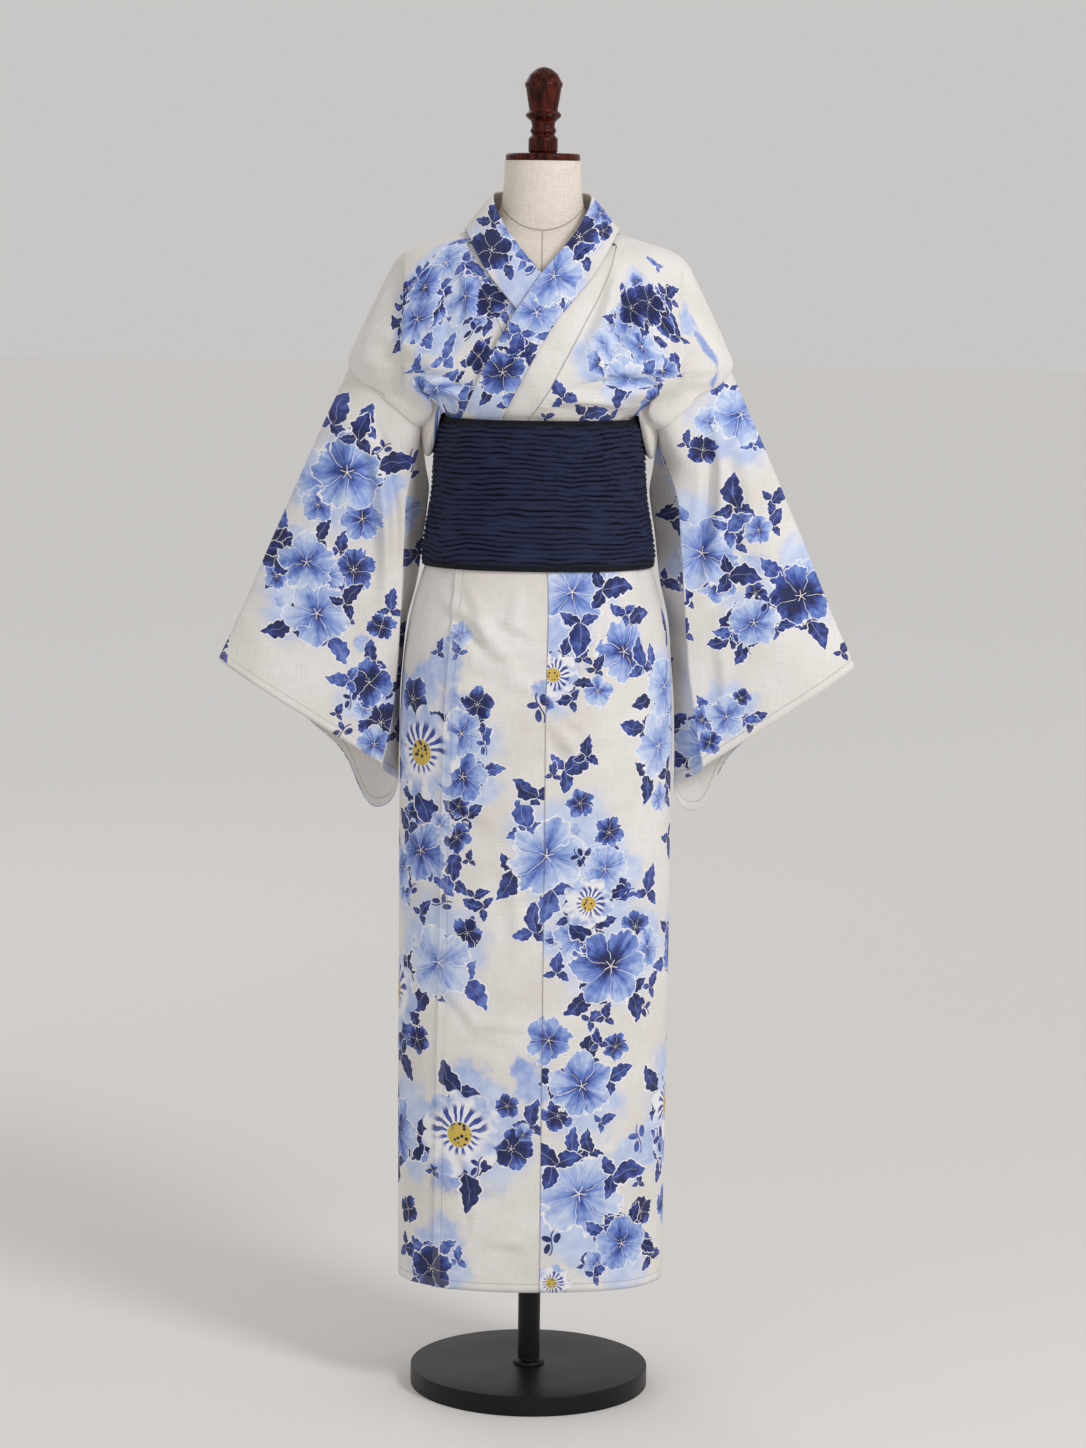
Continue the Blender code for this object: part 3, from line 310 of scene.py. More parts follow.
# The print, one motif a row: which cloth, place across and up it in mm, radius in mm, turn
# in degrees, kind, number of petals and how dark. Cloth L and R are the body panels, O the
# over lap, B all that lie on the front, S and T the right and left sleeves, and C and D the
# over and under ends of the collar. K, the cloth inside and behind the sleeves, has only
# strewn motifs.
MOTIFS = table("cloth across up radius turn kind petals dark", [
    ("L", 42, 1020, 42, 200, "bloom", 6, 0.15),
    ("L", 85, 1030, 30, 20, "wash", 5, 0.20),
    ("L", 125, 987, 24, 10, "leaf", 5, 0.80),
    ("L", 107, 995, 16, 150, "leaf", 5, 0.70),
    ("L", 110, 947, 38, 40, "tint", 5, 0.45),
    ("L", 30, 962, 40, 0, "wash", 6, 0.30),
    ("L", 57, 945, 14, 80, "leaf", 5, 0.90),
    ("L", 75, 930, 14, 60, "leaf", 5, 0.90),
    ("L", 20, 920, 30, 0, "daisy", 9, 0.50),
    ("L", 37, 890, 16, 170, "leaf", 5, 0.80),
    ("L", 135, 937, 24, 95, "leaf", 5, 0.70),
    ("L", 75, 900, 20, 300, "tint", 5, 0.30),
    ("O", 5, 902, 12, 90, "wash", 5, 0.50),
    ("O", 5, 880, 18, 95, "sprig", 5, 0.80),
    ("O", -5, 775, 24, 140, "leaf", 5, 0.85),
    ("L", 47, 807, 28, 20, "leaf", 5, 0.75),
    ("L", 65, 827, 18, 80, "leaf", 5, 0.90),
    ("L", 22, 802, 12, 80, "leaf", 5, 0.80),
    ("L", 55, 762, 18, 30, "tint", 5, 0.60),
    ("B", 15, 697, 46, 15, "bloom", 6, 0.25),
    ("L", 50, 727, 20, 0, "wash", 5, 0.50),
    ("L", 92, 725, 20, 60, "tint", 5, 0.60),
    ("L", 87, 680, 28, 0, "bloom", 5, 0.20),
    ("L", 55, 695, 12, 110, "sprig", 5, 0.90),
    ("L", 67, 637, 32, 30, "daisy", 9, 0.60),
    ("L", 152, 655, 24, 70, "leaf", 5, 0.75),
    ("L", 117, 647, 12, 20, "sprig", 5, 0.60),
    ("L", 172, 827, 42, 180, "bloom", 6, 0.20),
    ("L", 172, 762, 18, 90, "tint", 5, 0.25),
    ("B", -150, 817, 56, 90, "daisy", 11, 0.45),
    ("B", -152, 905, 28, 100, "wash", 5, 0.40),
    ("B", -117, 930, 30, 80, "wash", 5, 0.30),
    ("B", -102, 965, 18, 70, "tint", 5, 0.25),
    ("B", -127, 947, 12, 75, "leaf", 5, 0.80),
    ("B", -102, 947, 12, 120, "leaf", 5, 0.55),
    ("B", -72, 882, 20, 20, "bloom", 5, 0.85),
    ("B", -100, 882, 20, 0, "wash", 5, 0.55),
    ("B", -92, 845, 28, 40, "bloom", 5, 0.30),
    ("B", -62, 832, 12, 85, "sprig", 5, 0.60),
    ("B", -90, 792, 30, 10, "bloom", 5, 0.40),
    ("B", -92, 747, 24, 150, "leaf", 5, 0.85),
    ("B", -97, 717, 20, 60, "tint", 5, 0.70),
    ("B", -150, 695, 38, 265, "bloom", 5, 0.45),
    ("B", -102, 670, 26, 75, "leaf", 5, 0.80),
    ("B", -155, 747, 24, 30, "tint", 5, 0.75),
    ("B", -170, 642, 14, 30, "sprig", 5, 0.70),
    ("B", -70, 645, 14, 20, "leaf", 5, 0.85),
    ("B", -80, 692, 10, 80, "leaf", 5, 0.85),
    ("B", -145, 620, 16, 45, "leaf", 5, 0.80),
    ("B", -70, 632, 18, 160, "leaf", 5, 0.80),
    ("B", -117, 632, 14, 0, "sprig", 5, 0.80),
    ("B", -120, 557, 44, 250, "bloom", 5, 0.12),
    ("B", -107, 577, 18, 40, "tint", 5, 0.50),
    ("B", -82, 600, 18, 70, "leaf", 5, 0.75),
    ("B", -157, 477, 22, 100, "leaf", 5, 0.85),
    ("B", -152, 455, 18, 60, "bloom", 5, 0.85),
    ("B", -90, 342, 56, 95, "daisy", 11, 0.50),
    ("B", -80, 410, 32, 90, "wash", 6, 0.30),
    ("B", -145, 350, 30, 160, "wash", 6, 0.35),
    ("B", -105, 292, 28, 250, "wash", 5, 0.60),
    ("B", -30, 382, 16, 30, "tint", 5, 0.70),
    ("B", -47, 332, 14, 80, "leaf", 5, 0.85),
    ("B", -65, 302, 14, 60, "sprig", 5, 0.80),
    ("B", -167, 235, 18, 60, "bloom", 4, 0.85),
    ("B", -125, 295, 12, 70, "leaf", 5, 0.70),
    ("B", -117, 200, 38, 100, "wash", 5, 0.30),
    ("B", -127, 165, 28, 30, "bloom", 5, 0.85),
    ("B", -90, 185, 14, 80, "leaf", 5, 0.50),
    ("O", 2, 612, 28, 80, "leaf", 5, 0.70),
    ("L", 55, 595, 28, 250, "bloom", 5, 0.35),
    ("L", 30, 557, 18, 80, "leaf", 5, 0.75),
    ("L", 30, 595, 14, 60, "leaf", 5, 0.80),
    ("L", 97, 557, 46, 60, "bloom", 6, 0.50),
    ("L", 130, 605, 22, 20, "tint", 5, 0.60),
    ("L", 160, 530, 16, 50, "leaf", 5, 0.75),
    ("L", 145, 502, 14, 300, "sprig", 5, 0.80),
    ("L", 75, 492, 14, 30, "leaf", 5, 0.75),
    ("L", 92, 497, 14, 75, "leaf", 5, 0.85),
    ("L", 82, 465, 14, 100, "leaf", 5, 0.80),
    ("L", 105, 455, 18, 60, "tint", 5, 0.60),
    ("B", 20, 465, 30, 80, "tint", 6, 0.35),
    ("B", -10, 430, 18, 20, "wash", 5, 0.60),
    ("B", 0, 407, 28, 0, "wash", 5, 0.35),
    ("B", 25, 417, 16, 70, "leaf", 5, 0.75),
    ("L", 62, 407, 38, 100, "bloom", 5, 0.35),
    ("O", 0, 367, 22, 70, "leaf", 5, 0.75),
    ("O", -10, 345, 14, 90, "tint", 5, 0.50),
    ("L", 52, 330, 22, 85, "leaf", 5, 0.70),
    ("L", 72, 330, 20, 95, "leaf", 5, 0.85),
    ("L", 92, 362, 14, 20, "leaf", 5, 0.65),
    ("L", 60, 270, 52, 350, "bloom", 6, 0.22),
    ("L", 145, 240, 20, 20, "bloom", 5, 0.85),
    ("L", 107, 245, 14, 100, "leaf", 5, 0.80),
    ("L", 117, 202, 32, 30, "bloom", 5, 0.40),
    ("L", 70, 205, 32, 0, "wash", 5, 0.30),
    ("L", 162, 187, 24, 110, "leaf", 5, 0.80),
    ("L", 70, 182, 12, 80, "leaf", 5, 0.75),
    ("L", 85, 167, 14, 40, "leaf", 5, 0.70),
    ("L", 27, 155, 24, 0, "daisy", 9, 0.50),
    ("L", 27, 207, 16, 70, "sprig", 5, 0.85),
    ("L", 92, 217, 14, 45, "bloom", 4, 0.85),
    ("L", 140, 335, 18, 90, "sprig", 5, 0.55),
    ("L", 120, 312, 32, 0, "wash", 5, 0.20),
    ("L", 157, 317, 24, 0, "wash", 5, 0.30),
    ("L", 142, 282, 12, 80, "leaf", 5, 0.80),
    ("R", -155, 1445, 20, 30, "bloom", 4, 0.80),
    ("R", -157, 1405, 28, 300, "bloom", 5, 0.35),
    ("R", -125, 1398, 16, 40, "leaf", 5, 0.70),
    ("R", -107, 1438, 32, 0, "wash", 6, 0.35),
    ("R", -77, 1419, 18, 80, "leaf", 5, 0.40),
    ("R", -62, 1384, 24, 70, "bloom", 5, 0.90),
    ("R", -82, 1351, 12, 20, "sprig", 5, 0.90),
    ("R", -132, 1370, 24, 0, "wash", 5, 0.35),
    ("R", -115, 1343, 18, 60, "leaf", 5, 0.45),
    ("R", -122, 1257, 34, 80, "bloom", 5, 0.65),
    ("R", -155, 1260, 14, 60, "leaf", 5, 0.80),
    ("R", -152, 1338, 18, 0, "wash", 5, 0.35),
    ("R", -75, 1321, 16, 80, "bloom", 4, 0.85),
    ("R", -90, 1267, 20, 70, "leaf", 5, 0.50),
    ("R", -177, 1448, 14, 30, "leaf", 5, 0.80),
    ("L", 175, 1445, 16, 110, "leaf", 5, 0.85),
    ("L", 162, 1408, 22, 60, "bloom", 5, 0.85),
    ("L", 122, 1398, 22, 20, "bloom", 5, 0.85),
    ("L", 147, 1425, 14, 100, "leaf", 5, 0.80),
    ("L", 100, 1365, 20, 0, "tint", 6, 0.20),
    ("L", 130, 1360, 24, 40, "bloom", 5, 0.30),
    ("L", 112, 1300, 34, 20, "bloom", 6, 0.25),
    ("L", 167, 1350, 20, 80, "leaf", 5, 0.80),
    ("L", 142, 1310, 14, 70, "tint", 5, 0.50),
    ("L", 150, 1245, 16, 30, "leaf", 5, 0.80),
    ("L", 85, 1230, 14, 170, "leaf", 5, 0.80),
    ("L", 25, 1262, 18, 110, "leaf", 5, 0.75),
    ("L", 142, 1475, 12, 160, "leaf", 5, 0.40),
    ("L", 232, 1400, 16, 120, "wash", 5, 0.60),
    ("L", 10, 1232, 8, 20, "leaf", 5, 0.80),
    ("S", -250, 1225, 28, 60, "leaf", 5, 0.80),
    ("S", -212, 1220, 20, 70, "leaf", 5, 0.75),
    ("S", -192, 1187, 12, 20, "sprig", 5, 0.80),
    ("S", -265, 1147, 38, 200, "tint", 5, 0.25),
    ("S", -235, 1157, 44, 20, "bloom", 5, 0.40),
    ("S", -192, 1142, 30, 0, "wash", 6, 0.35),
    ("S", -262, 1107, 16, 0, "wash", 5, 0.60),
    ("S", -217, 1100, 28, 300, "tint", 6, 0.50),
    ("S", -157, 1172, 14, 75, "sprig", 5, 0.80),
    ("S", -320, 1057, 28, 60, "bloom", 5, 0.90),
    ("S", -285, 1045, 34, 20, "bloom", 5, 0.35),
    ("S", -242, 1067, 18, 70, "leaf", 5, 0.85),
    ("S", -227, 1037, 28, 90, "tint", 5, 0.65),
    ("S", -310, 995, 20, 200, "wash", 5, 0.65),
    ("S", -272, 982, 38, 265, "bloom", 5, 0.30),
    ("S", -247, 997, 14, 60, "leaf", 5, 0.50),
    ("S", -235, 980, 12, 80, "leaf", 5, 0.85),
    ("S", -180, 995, 18, 80, "leaf", 5, 0.80),
    ("S", -192, 967, 18, 20, "tint", 4, 0.75),
    ("S", -215, 947, 12, 30, "wash", 5, 0.40),
    ("S", -392, 937, 18, 60, "leaf", 5, 0.75),
    ("S", -207, 897, 28, 90, "bloom", 4, 0.70),
    ("S", -230, 875, 12, 70, "sprig", 5, 0.80),
    ("S", -192, 847, 28, 60, "tint", 5, 0.75),
    ("S", -200, 820, 22, 20, "bloom", 5, 0.35),
    ("S", -240, 835, 14, 30, "sprig", 5, 0.70),
    ("S", -245, 860, 10, 60, "leaf", 5, 0.80),
    ("T", 247, 1232, 34, 70, "bloom", 5, 0.25),
    ("T", 257, 1202, 14, 300, "leaf", 5, 0.70),
    ("T", 180, 1202, 12, 80, "leaf", 5, 0.80),
    ("T", 200, 1190, 18, 40, "bloom", 4, 0.85),
    ("T", 240, 1130, 28, 90, "leaf", 5, 0.85),
    ("T", 245, 1082, 18, 70, "leaf", 5, 0.80),
    ("T", 292, 1130, 18, 20, "leaf", 5, 0.80),
    ("T", 290, 1102, 16, 60, "leaf", 5, 0.80),
    ("T", 270, 1092, 18, 20, "tint", 5, 0.40),
    ("T", 187, 1112, 18, 90, "wash", 5, 0.50),
    ("T", 202, 1062, 44, 10, "bloom", 6, 0.25),
    ("T", 220, 1027, 28, 330, "tint", 5, 0.40),
    ("T", 267, 1047, 22, 0, "wash", 5, 0.30),
    ("T", 187, 1007, 12, 60, "leaf", 5, 0.85),
    ("T", 182, 967, 14, 80, "leaf", 5, 0.75),
    ("T", 325, 1010, 38, 30, "bloom", 5, 0.70),
    ("T", 330, 1035, 20, 0, "tint", 5, 0.20),
    ("T", 240, 967, 30, 80, "leaf", 5, 0.85),
    ("T", 267, 977, 30, 20, "bloom", 5, 0.35),
    ("T", 285, 1002, 14, 60, "sprig", 5, 0.85),
    ("T", 380, 942, 12, 60, "leaf", 5, 0.85),
    ("T", 235, 860, 24, 20, "bloom", 5, 0.30),
    ("T", 205, 855, 18, 70, "tint", 5, 0.50),
    ("T", 270, 857, 16, 20, "leaf", 5, 0.85),
    ("T", 215, 827, 16, 30, "tint", 4, 0.60),
    ("D", -57, 1470, 20, 60, "leaf", 5, 0.85),
    ("D", -60, 1430, 24, 20, "bloom", 5, 0.90),
    ("D", -32, 1445, 18, 40, "tint", 5, 0.45),
    ("D", -22, 1425, 18, 120, "leaf", 5, 0.35),
    ("D", -22, 1395, 32, 0, "wash", 5, 0.20),
    ("D", -7, 1410, 14, 30, "sprig", 5, 0.70),
    ("C", 45, 1447, 24, 70, "bloom", 5, 0.85),
    ("C", 70, 1475, 18, 30, "tint", 5, 0.35),
    ("C", 15, 1400, 34, 10, "bloom", 6, 0.25),
    ("C", -5, 1357, 34, 50, "bloom", 5, 0.25),
    ("C", 27, 1372, 14, 100, "leaf", 5, 0.55),
    ("C", -12, 1315, 24, 60, "leaf", 5, 0.85),
    ("C", -40, 1337, 18, 20, "tint", 5, 0.45),
    ("C", -45, 1285, 28, 20, "bloom", 5, 0.65),
    ("C", -35, 1255, 18, 80, "leaf", 5, 0.85),
    ("C", -70, 1245, 28, 0, "wash", 5, 0.20),
    ("C", 7, 1335, 18, 150, "leaf", 5, 0.50),
    ("C", -25, 1310, 16, 10, "sprig", 5, 0.80),
    ("R", -180, 1438, 18, 40, "leaf", 5, 0.80),
    ("R", -147, 1438, 24, 20, "bloom", 5, 0.45),
    ("R", -117, 1448, 30, 0, "bloom", 5, 0.20),
    ("R", -97, 1446, 18, 80, "tint", 5, 0.35),
    ("R", -130, 1403, 22, 30, "bloom", 5, 0.70),
    ("R", -92, 1394, 28, 60, "bloom", 6, 0.25),
    ("R", -62, 1389, 24, 20, "bloom", 5, 0.90),
    ("R", -80, 1421, 20, 100, "leaf", 5, 0.70),
    ("R", -157, 1460, 18, 10, "sprig", 5, 0.60),
    ("R", -115, 1355, 24, 20, "wash", 5, 0.20),
    ("R", -155, 1340, 18, 70, "leaf", 5, 0.55),
    ("R", -127, 1267, 32, 10, "bloom", 5, 0.30),
    ("R", -190, 1240, 20, 50, "tint", 5, 0.60),
    ("R", -75, 1321, 20, 40, "leaf", 5, 0.90),
    ("R", -87, 1247, 22, 20, "tint", 5, 0.35),
    ("R", -175, 1400, 20, 20, "wash", 5, 0.40),
    ("L", 175, 1448, 20, 50, "leaf", 5, 0.85),
    ("L", 145, 1415, 24, 20, "bloom", 5, 0.90),
    ("L", 117, 1380, 24, 10, "bloom", 5, 0.25),
    ("L", 185, 1405, 18, 100, "leaf", 5, 0.80),
    ("L", 152, 1343, 24, 20, "tint", 5, 0.40),
    ("L", 107, 1307, 32, 20, "bloom", 5, 0.20),
    ("L", 150, 1252, 22, 60, "tint", 5, 0.60),
    ("L", 62, 1235, 20, 10, "leaf", 5, 0.85),
    ("L", 92, 1334, 24, 20, "wash", 5, 0.20),
    ("L", 210, 1423, 20, 0, "wash", 5, 0.30),
])


def soft_step(value, start, end):
    """0 before start, 1 after end, smooth between."""
    t = min(max((value - start) / (end - start), 0.0), 1.0)
    return t * t * (3.0 - 2.0 * t)


def soft_steps(values, start, end):
    """The same for a whole array."""
    t = np.clip((values - start) / (end - start), 0.0, 1.0)
    return t * t * (3.0 - 2.0 * t)


def mix(a, b, t):
    return a + (b - a) * t


def read(rows, key, at, by="z"):
    """The named column at a level, smooth between rows and held at the ends."""
    if at <= rows[0][by]:
        return rows[0][key]
    if at >= rows[-1][by]:
        return rows[-1][key]
    i = max(k for k in range(len(rows) - 1) if rows[k][by] <= at)
    span = rows[i + 1][by] - rows[i][by]
    t = (at - rows[i][by]) / span
    rise = (rows[i + 1][key] - rows[i][key]) / span
    before = rise
    after = rise
    if i > 0:
        before = (rows[i][key] - rows[i - 1][key]) / (rows[i][by] - rows[i - 1][by])
    if i + 2 < len(rows):
        after = (rows[i + 2][key] - rows[i + 1][key]) / (rows[i + 2][by] - rows[i + 1][by])
    start = 0.5 * (before + rise) if before * rise > 0 else 0.0
    end = 0.5 * (rise + after) if rise * after > 0 else 0.0
    bend = 3.0 * t * t - 2.0 * t * t * t
    value = rows[i][key] * (1 - bend) + rows[i + 1][key] * bend
    value += span * start * (t * t * t - 2 * t * t + t)
    return value + span * end * (t * t * t - t * t)


def section_at(rows, z, grow=0.0):
    """Half width, front depth, back depth and power at a level, grown outwards."""
    sides = [read(rows, key, z) + grow for key in ("side", "front", "back")]
    return sides + [read(rows, "power", z)]


def blend_sections(a, b, t):
    return [mix(p, q, t) for p, q in zip(a, b)]


def on_section(section, angle):
    """The point of a section at an angle from the front middle, in degrees."""
    side, front, back, power = section
    turn = math.radians(angle)
    across = math.sin(turn)
    ahead = math.cos(turn)
    x = side * math.copysign(abs(across) ** (2 / power), across)
    depth = front if ahead > 0 else back
    return x, -math.copysign(depth * abs(ahead) ** (2 / power), ahead)


def angle_at(section, x):
    """The angle on the front half at which a section reaches x."""
    side, _, _, power = section
    share = min(abs(x) / side, 1.0)
    return math.copysign(math.degrees(math.asin(share ** (power / 2))), x)


# Where the over layer thickens and thins again: beside the collar under it, by level, and by
# angle from the front middle.
COLLAR_BULK = (0.065, 0.035)
OVER_THICKENS_Z = (1.165, 1.205)
OVER_SETTLES_Z = (1.370, 1.450)
OVER_ENDS_AT = (46.0, 62.0)
# Angles from the front middle between which the blouse comes over the wrap, hangs free,
# swells at the side, and falls at the side and the back.
BLOUSE_OVER_AT = (52.0, 64.0)
BLOUSE_HANGS_AT = (60.0, 76.0)
SWELL_STARTS_AT = (70.0, 88.0)
SWELL_ENDS_AT = (100.0, 130.0)
SIDE_FALL_AT = (62.0, 86.0)
BACK_FALL_AT = (100.0, 140.0)
# The same for the rows that run to the armhole.
ARMHOLE_STARTS_AT = (38.0, 72.0)
ARMHOLE_ENDS_AT = (108.0, 150.0)
ARMHOLE_BACK_AT = (95.0, 145.0)


def over_rise(x, z, angle):
    """How far the over layer stands out, where x grows towards the wearer's left."""
    under_collar = read(FRONT_LINES, "free", z)
    thick = soft_step(x, *[-under_collar - reach for reach in COLLAR_BULK])
    thick *= soft_step(z, *OVER_THICKENS_Z)
    rise = mix(OVER_SKIRT, OVER_CHEST, thick)
    rise *= 1.0 - soft_step(z, *OVER_SETTLES_Z)
    return rise * (1.0 - soft_step(angle, *OVER_ENDS_AT))


def front_depth(x, z, grow):
    """Depth of the robe's front at a place on it."""
    section = section_at(ROBE, z, grow)
    return on_section(section, angle_at(section, x))[1]


def fall_at(angle):
    """How far the blouse hangs over the waist wrap, by angle from the front middle."""
    turn = abs(angle)
    to_side = soft_step(turn, *SIDE_FALL_AT)
    to_back = soft_step(turn, *BACK_FALL_AT)
    return mix(mix(FRONT_FALL, SIDE_FALL, to_side), BACK_FALL, to_back)


def robe_point(row, angle, rise=0.0):
    """A point of the robe's innermost layer, or of one that stands rise outside it."""
    turn = abs(angle)
    z = ROW_LEVELS[row]
    section = section_at(ROBE, z, rise)
    if FOLD_START <= row < ARMHOLE_START:
        step = BLOUSE[row - FOLD_START]
        over = soft_step(turn, *BLOUSE_OVER_AT)
        hang = soft_step(turn, *BLOUSE_HANGS_AT)
        at_side = soft_step(turn, *SWELL_STARTS_AT) * (1.0 - soft_step(turn, *SWELL_ENDS_AT))
        out = mix(step["over_out"], step["drop_out"], hang) + rise
        out += SIDE_SWELL * at_side * step["fall"] * (1.0 if step["fall"] < 1.0 else 0.25)
        hung_z = FOLD_TOP_Z + mix(step["over_z"], step["drop_z"], hang)
        hung_z -= step["fall"] * fall_at(angle) * hang
        wrap = section_at(OBI, hung_z, out)
        section = blend_sections(section, wrap, over)
        z = mix(z, hung_z, over)
    elif ARMHOLE_START <= row <= ARMHOLE_TOP:
        side_z, *side_row = ARMHOLE_SIDE[row - ARMHOLE_START]
        at_side = soft_step(turn, *ARMHOLE_STARTS_AT) * (1.0 - soft_step(turn, *ARMHOLE_ENDS_AT))
        share = (row - ARMHOLE_START) / (len(ARMHOLE_LEVELS) - 1)
        back_z = mix(ARMHOLE_BACK_LOW_Z, ARMHOLE_BACK_HIGH_Z, share)
        z = mix(mix(z, back_z, soft_step(turn, *ARMHOLE_BACK_AT)), side_z, at_side)
        section = section_at(ROBE, mix(z, ROW_LEVELS[row], 0.5 if turn > 90 else 0.0), rise)
        section = blend_sections(section, [s + rise for s in side_row[:3]] + side_row[3:], at_side)
    x, y = on_section(section, angle)
    return x, y, z


def armhole_angle(row):
    """Half the armhole's opening in any row."""
    step = row - ARMHOLE_START
    return ARMHOLE_GAP[step] if 0 <= step < len(ARMHOLE_GAP) else 0.0


def front_edge_angle(row, line):
    """Angle of a named front line in a row, on the wearer's own side."""
    z = ROW_LEVELS[row]
    return angle_at(section_at(ROBE, z), read(FRONT_LINES, line, z))


def shares_across(count, fine=(0.004, 0.012, 0.026)):
    """Even shares from 0 to 1 with closer ones by both edges."""
    inner = [k / count for k in range(count + 1)]
    close = list(fine) + [1.0 - s for s in fine]
    return sorted(set(round(s, 5) for s in inner + close))


def refine(rows, steps):
    """More rows on smooth curves through the given ones, and the place of each among them."""
    rows = np.array(rows)
    span = np.linalg.norm(np.diff(rows, axis=0), axis=2).mean(axis=1)
    slope = np.diff(rows, axis=0) / span[:, None, None]
    tangent = np.empty_like(rows)
    tangent[0] = slope[0]
    tangent[-1] = slope[-1]
    before = span[:-1, None, None]
    after = span[1:, None, None]
    tangent[1:-1] = (slope[:-1] * after + slope[1:] * before) / (before + after)
    made = []
    marks = []
    for i, length in enumerate(span):
        count = max(2, math.ceil(length / steps(i)))
        for k in range(count):
            t = k / count
            bend = 3 * t * t - 2 * t**3
            point = rows[i] * (1 - bend) + rows[i + 1] * bend
            point = point + tangent[i] * length * (t**3 - 2 * t * t + t)
            made.append(point + tangent[i + 1] * length * (t**3 - t * t))
            marks.append(i + t)
    made.append(rows[-1])
    marks.append(len(span))
    return np.array(made), np.array(marks)


def robe_steps(row):
    """How close the cloth's rows lie: closest on the chest, widest under the wrap."""
    if row < len(SKIRT_LEVELS):
        return SKIRT_STEP
    return UNDER_OBI_STEP if row < FOLD_START - 1 else CHEST_STEP


def outward(points, hand):
    """The way each point of a sheet faces."""
    across = np.gradient(points, axis=1)
    along = np.gradient(points, axis=0)
    normal = np.cross(across, along) * hand
    length = np.linalg.norm(normal, axis=2, keepdims=True)
    return normal / np.maximum(length, 1e-12)


def fold_height(fold, x, z):
    """Height of one listed fold over an array of places."""
    dx = fold["x1"] - fold["x0"]
    dz = fold["z1"] - fold["z0"]
    length = math.hypot(dx, dz)
    along = ((x - fold["x0"]) * dx + (z - fold["z0"]) * dz) / length**2
    bow = 0.06 * length * np.sin(np.pi * np.clip(along, 0.0, 1.0))
    off = ((x - fold["x0"]) * dz - (z - fold["z0"]) * dx) / length + bow
    taper = np.sin(np.pi * np.clip(along, 0.0, 1.0)) ** 0.8
    ridge = np.exp(-((off / fold["wide"]) ** 2))
    side = np.exp(-(((off - 1.6 * fold["wide"]) / (1.3 * fold["wide"])) ** 2))
    return FOLD_STRENGTH * fold["high"] * taper * (ridge - FOLD_HOLLOW * side)


def soft_waves(a, b, size):
    """Slow uneven swell of hanging cloth."""
    wave = np.sin(17.0 * a + 9.0 * b + 1.3) * np.sin(11.0 * b - 6.0 * a + 0.4)
    wave += 0.7 * np.sin(31.0 * a - 15.0 * b + 2.1) * np.sin(19.0 * b + 0.9)
    wave += 0.35 * np.sin(58.0 * a + 23.0 * b) * np.sin(47.0 * b - 21.0 * a + 1.1)
    return size * wave


FACE_DEPTH = 0.035
FRONT_SWELL = 0.0009
BACK_SWELL = 0.0012
# Levels between which the wrap takes hold of the cloth and lets it go again, and those where
# the chest's side tucks start and end.
WRAP_HOLDS_Z = (1.020, 1.040)
WRAP_FREES_Z = (1.232, 1.246)
TUCK_STARTS_Z = (1.244, 1.262)
TUCK_ENDS_Z = (1.385, 1.425)


def robe_lift(points):
    """How far the robe's folds lift each point from the smooth body."""
    x = points[..., 0]
    y = points[..., 1]
    z = points[..., 2]
    front = soft_steps(-y, 0.0, FACE_DEPTH)
    back = soft_steps(y, 0.0, FACE_DEPTH)
    free = 1.0 - soft_steps(z, *WRAP_HOLDS_Z) * (1.0 - soft_steps(z, *WRAP_FREES_Z))
    lift = soft_waves(x, z, FRONT_SWELL) * front + soft_waves(x + 0.4, z, BACK_SWELL) * back
    for fold in ROBE_FOLDS:
        lift = lift + fold_height(fold, x, z) * (front if fold["face"] == "F" else back)
    chest = soft_steps(z, *TUCK_STARTS_Z) * (1.0 - soft_steps(z, *TUCK_ENDS_Z)) * front
    turned = np.abs(x) - mix(0.166, 0.171, soft_steps(x, -0.1, 0.1))
    tuck = soft_steps(turned, 0.0, 0.005) * (1.0 - soft_steps(turned, 0.012, 0.050))
    return (lift - TUCK_DEPTH * tuck * chest) * free


def running(points, axis):
    """Length along the cloth from the first point of each row or column."""
    steps = np.linalg.norm(np.diff(points, axis=axis), axis=2)
    start = np.zeros_like(np.take(steps, [0], axis=axis))
    return np.concatenate([start, np.cumsum(steps, axis=axis)], axis=axis)


def cloth_height(points, marks):
    """Place up the cloth: the level on the skirt, then the length over the chest."""
    levels = np.interp(marks, range(len(ROW_LEVELS)), ROW_LEVELS)
    up = np.repeat(levels[:, None], points.shape[1], axis=1)
    first = int(np.searchsorted(marks, ARMHOLE_START - 1))
    climb = running(points[first:], 0)
    up[first:] = up[first] + climb
    return up


class Sheet:
    """Patches of points with what the print and the seams need to know of each point."""

    def __init__(self):
        self.points = []
        self.faces = []
        self.print_at = []
        self.edges = []
        self.letters = []

    def add(self, points, print_at, edges, letter, turn_over=False):
        rows, columns = points.shape[:2]
        base = len(self.points)
        self.points.extend(points.reshape(-1, 3).tolist())
        self.print_at.extend(print_at.reshape(-1, 2).tolist())
        self.edges.extend(edges.reshape(-1, 3).tolist())
        for r in range(rows - 1):
            for c in range(columns - 1):
                a = base + r * columns + c
                quad = [a, a + 1, a + columns + 1, a + columns]
                self.faces.append(quad[::-1] if turn_over else quad)
                self.letters.append(letter)


def edge_facts(shape, hem=None, seam=None, crinkle_height=None):
    """For each point: distance to a hem, distance to a seam, and how high a crinkle stands."""
    facts = np.zeros((*shape, 3))
    facts[..., 0] = 1.0 if hem is None else hem
    facts[..., 1] = 1.0 if seam is None else seam
    facts[..., 2] = 0.0 if crinkle_height is None else crinkle_height
    return facts


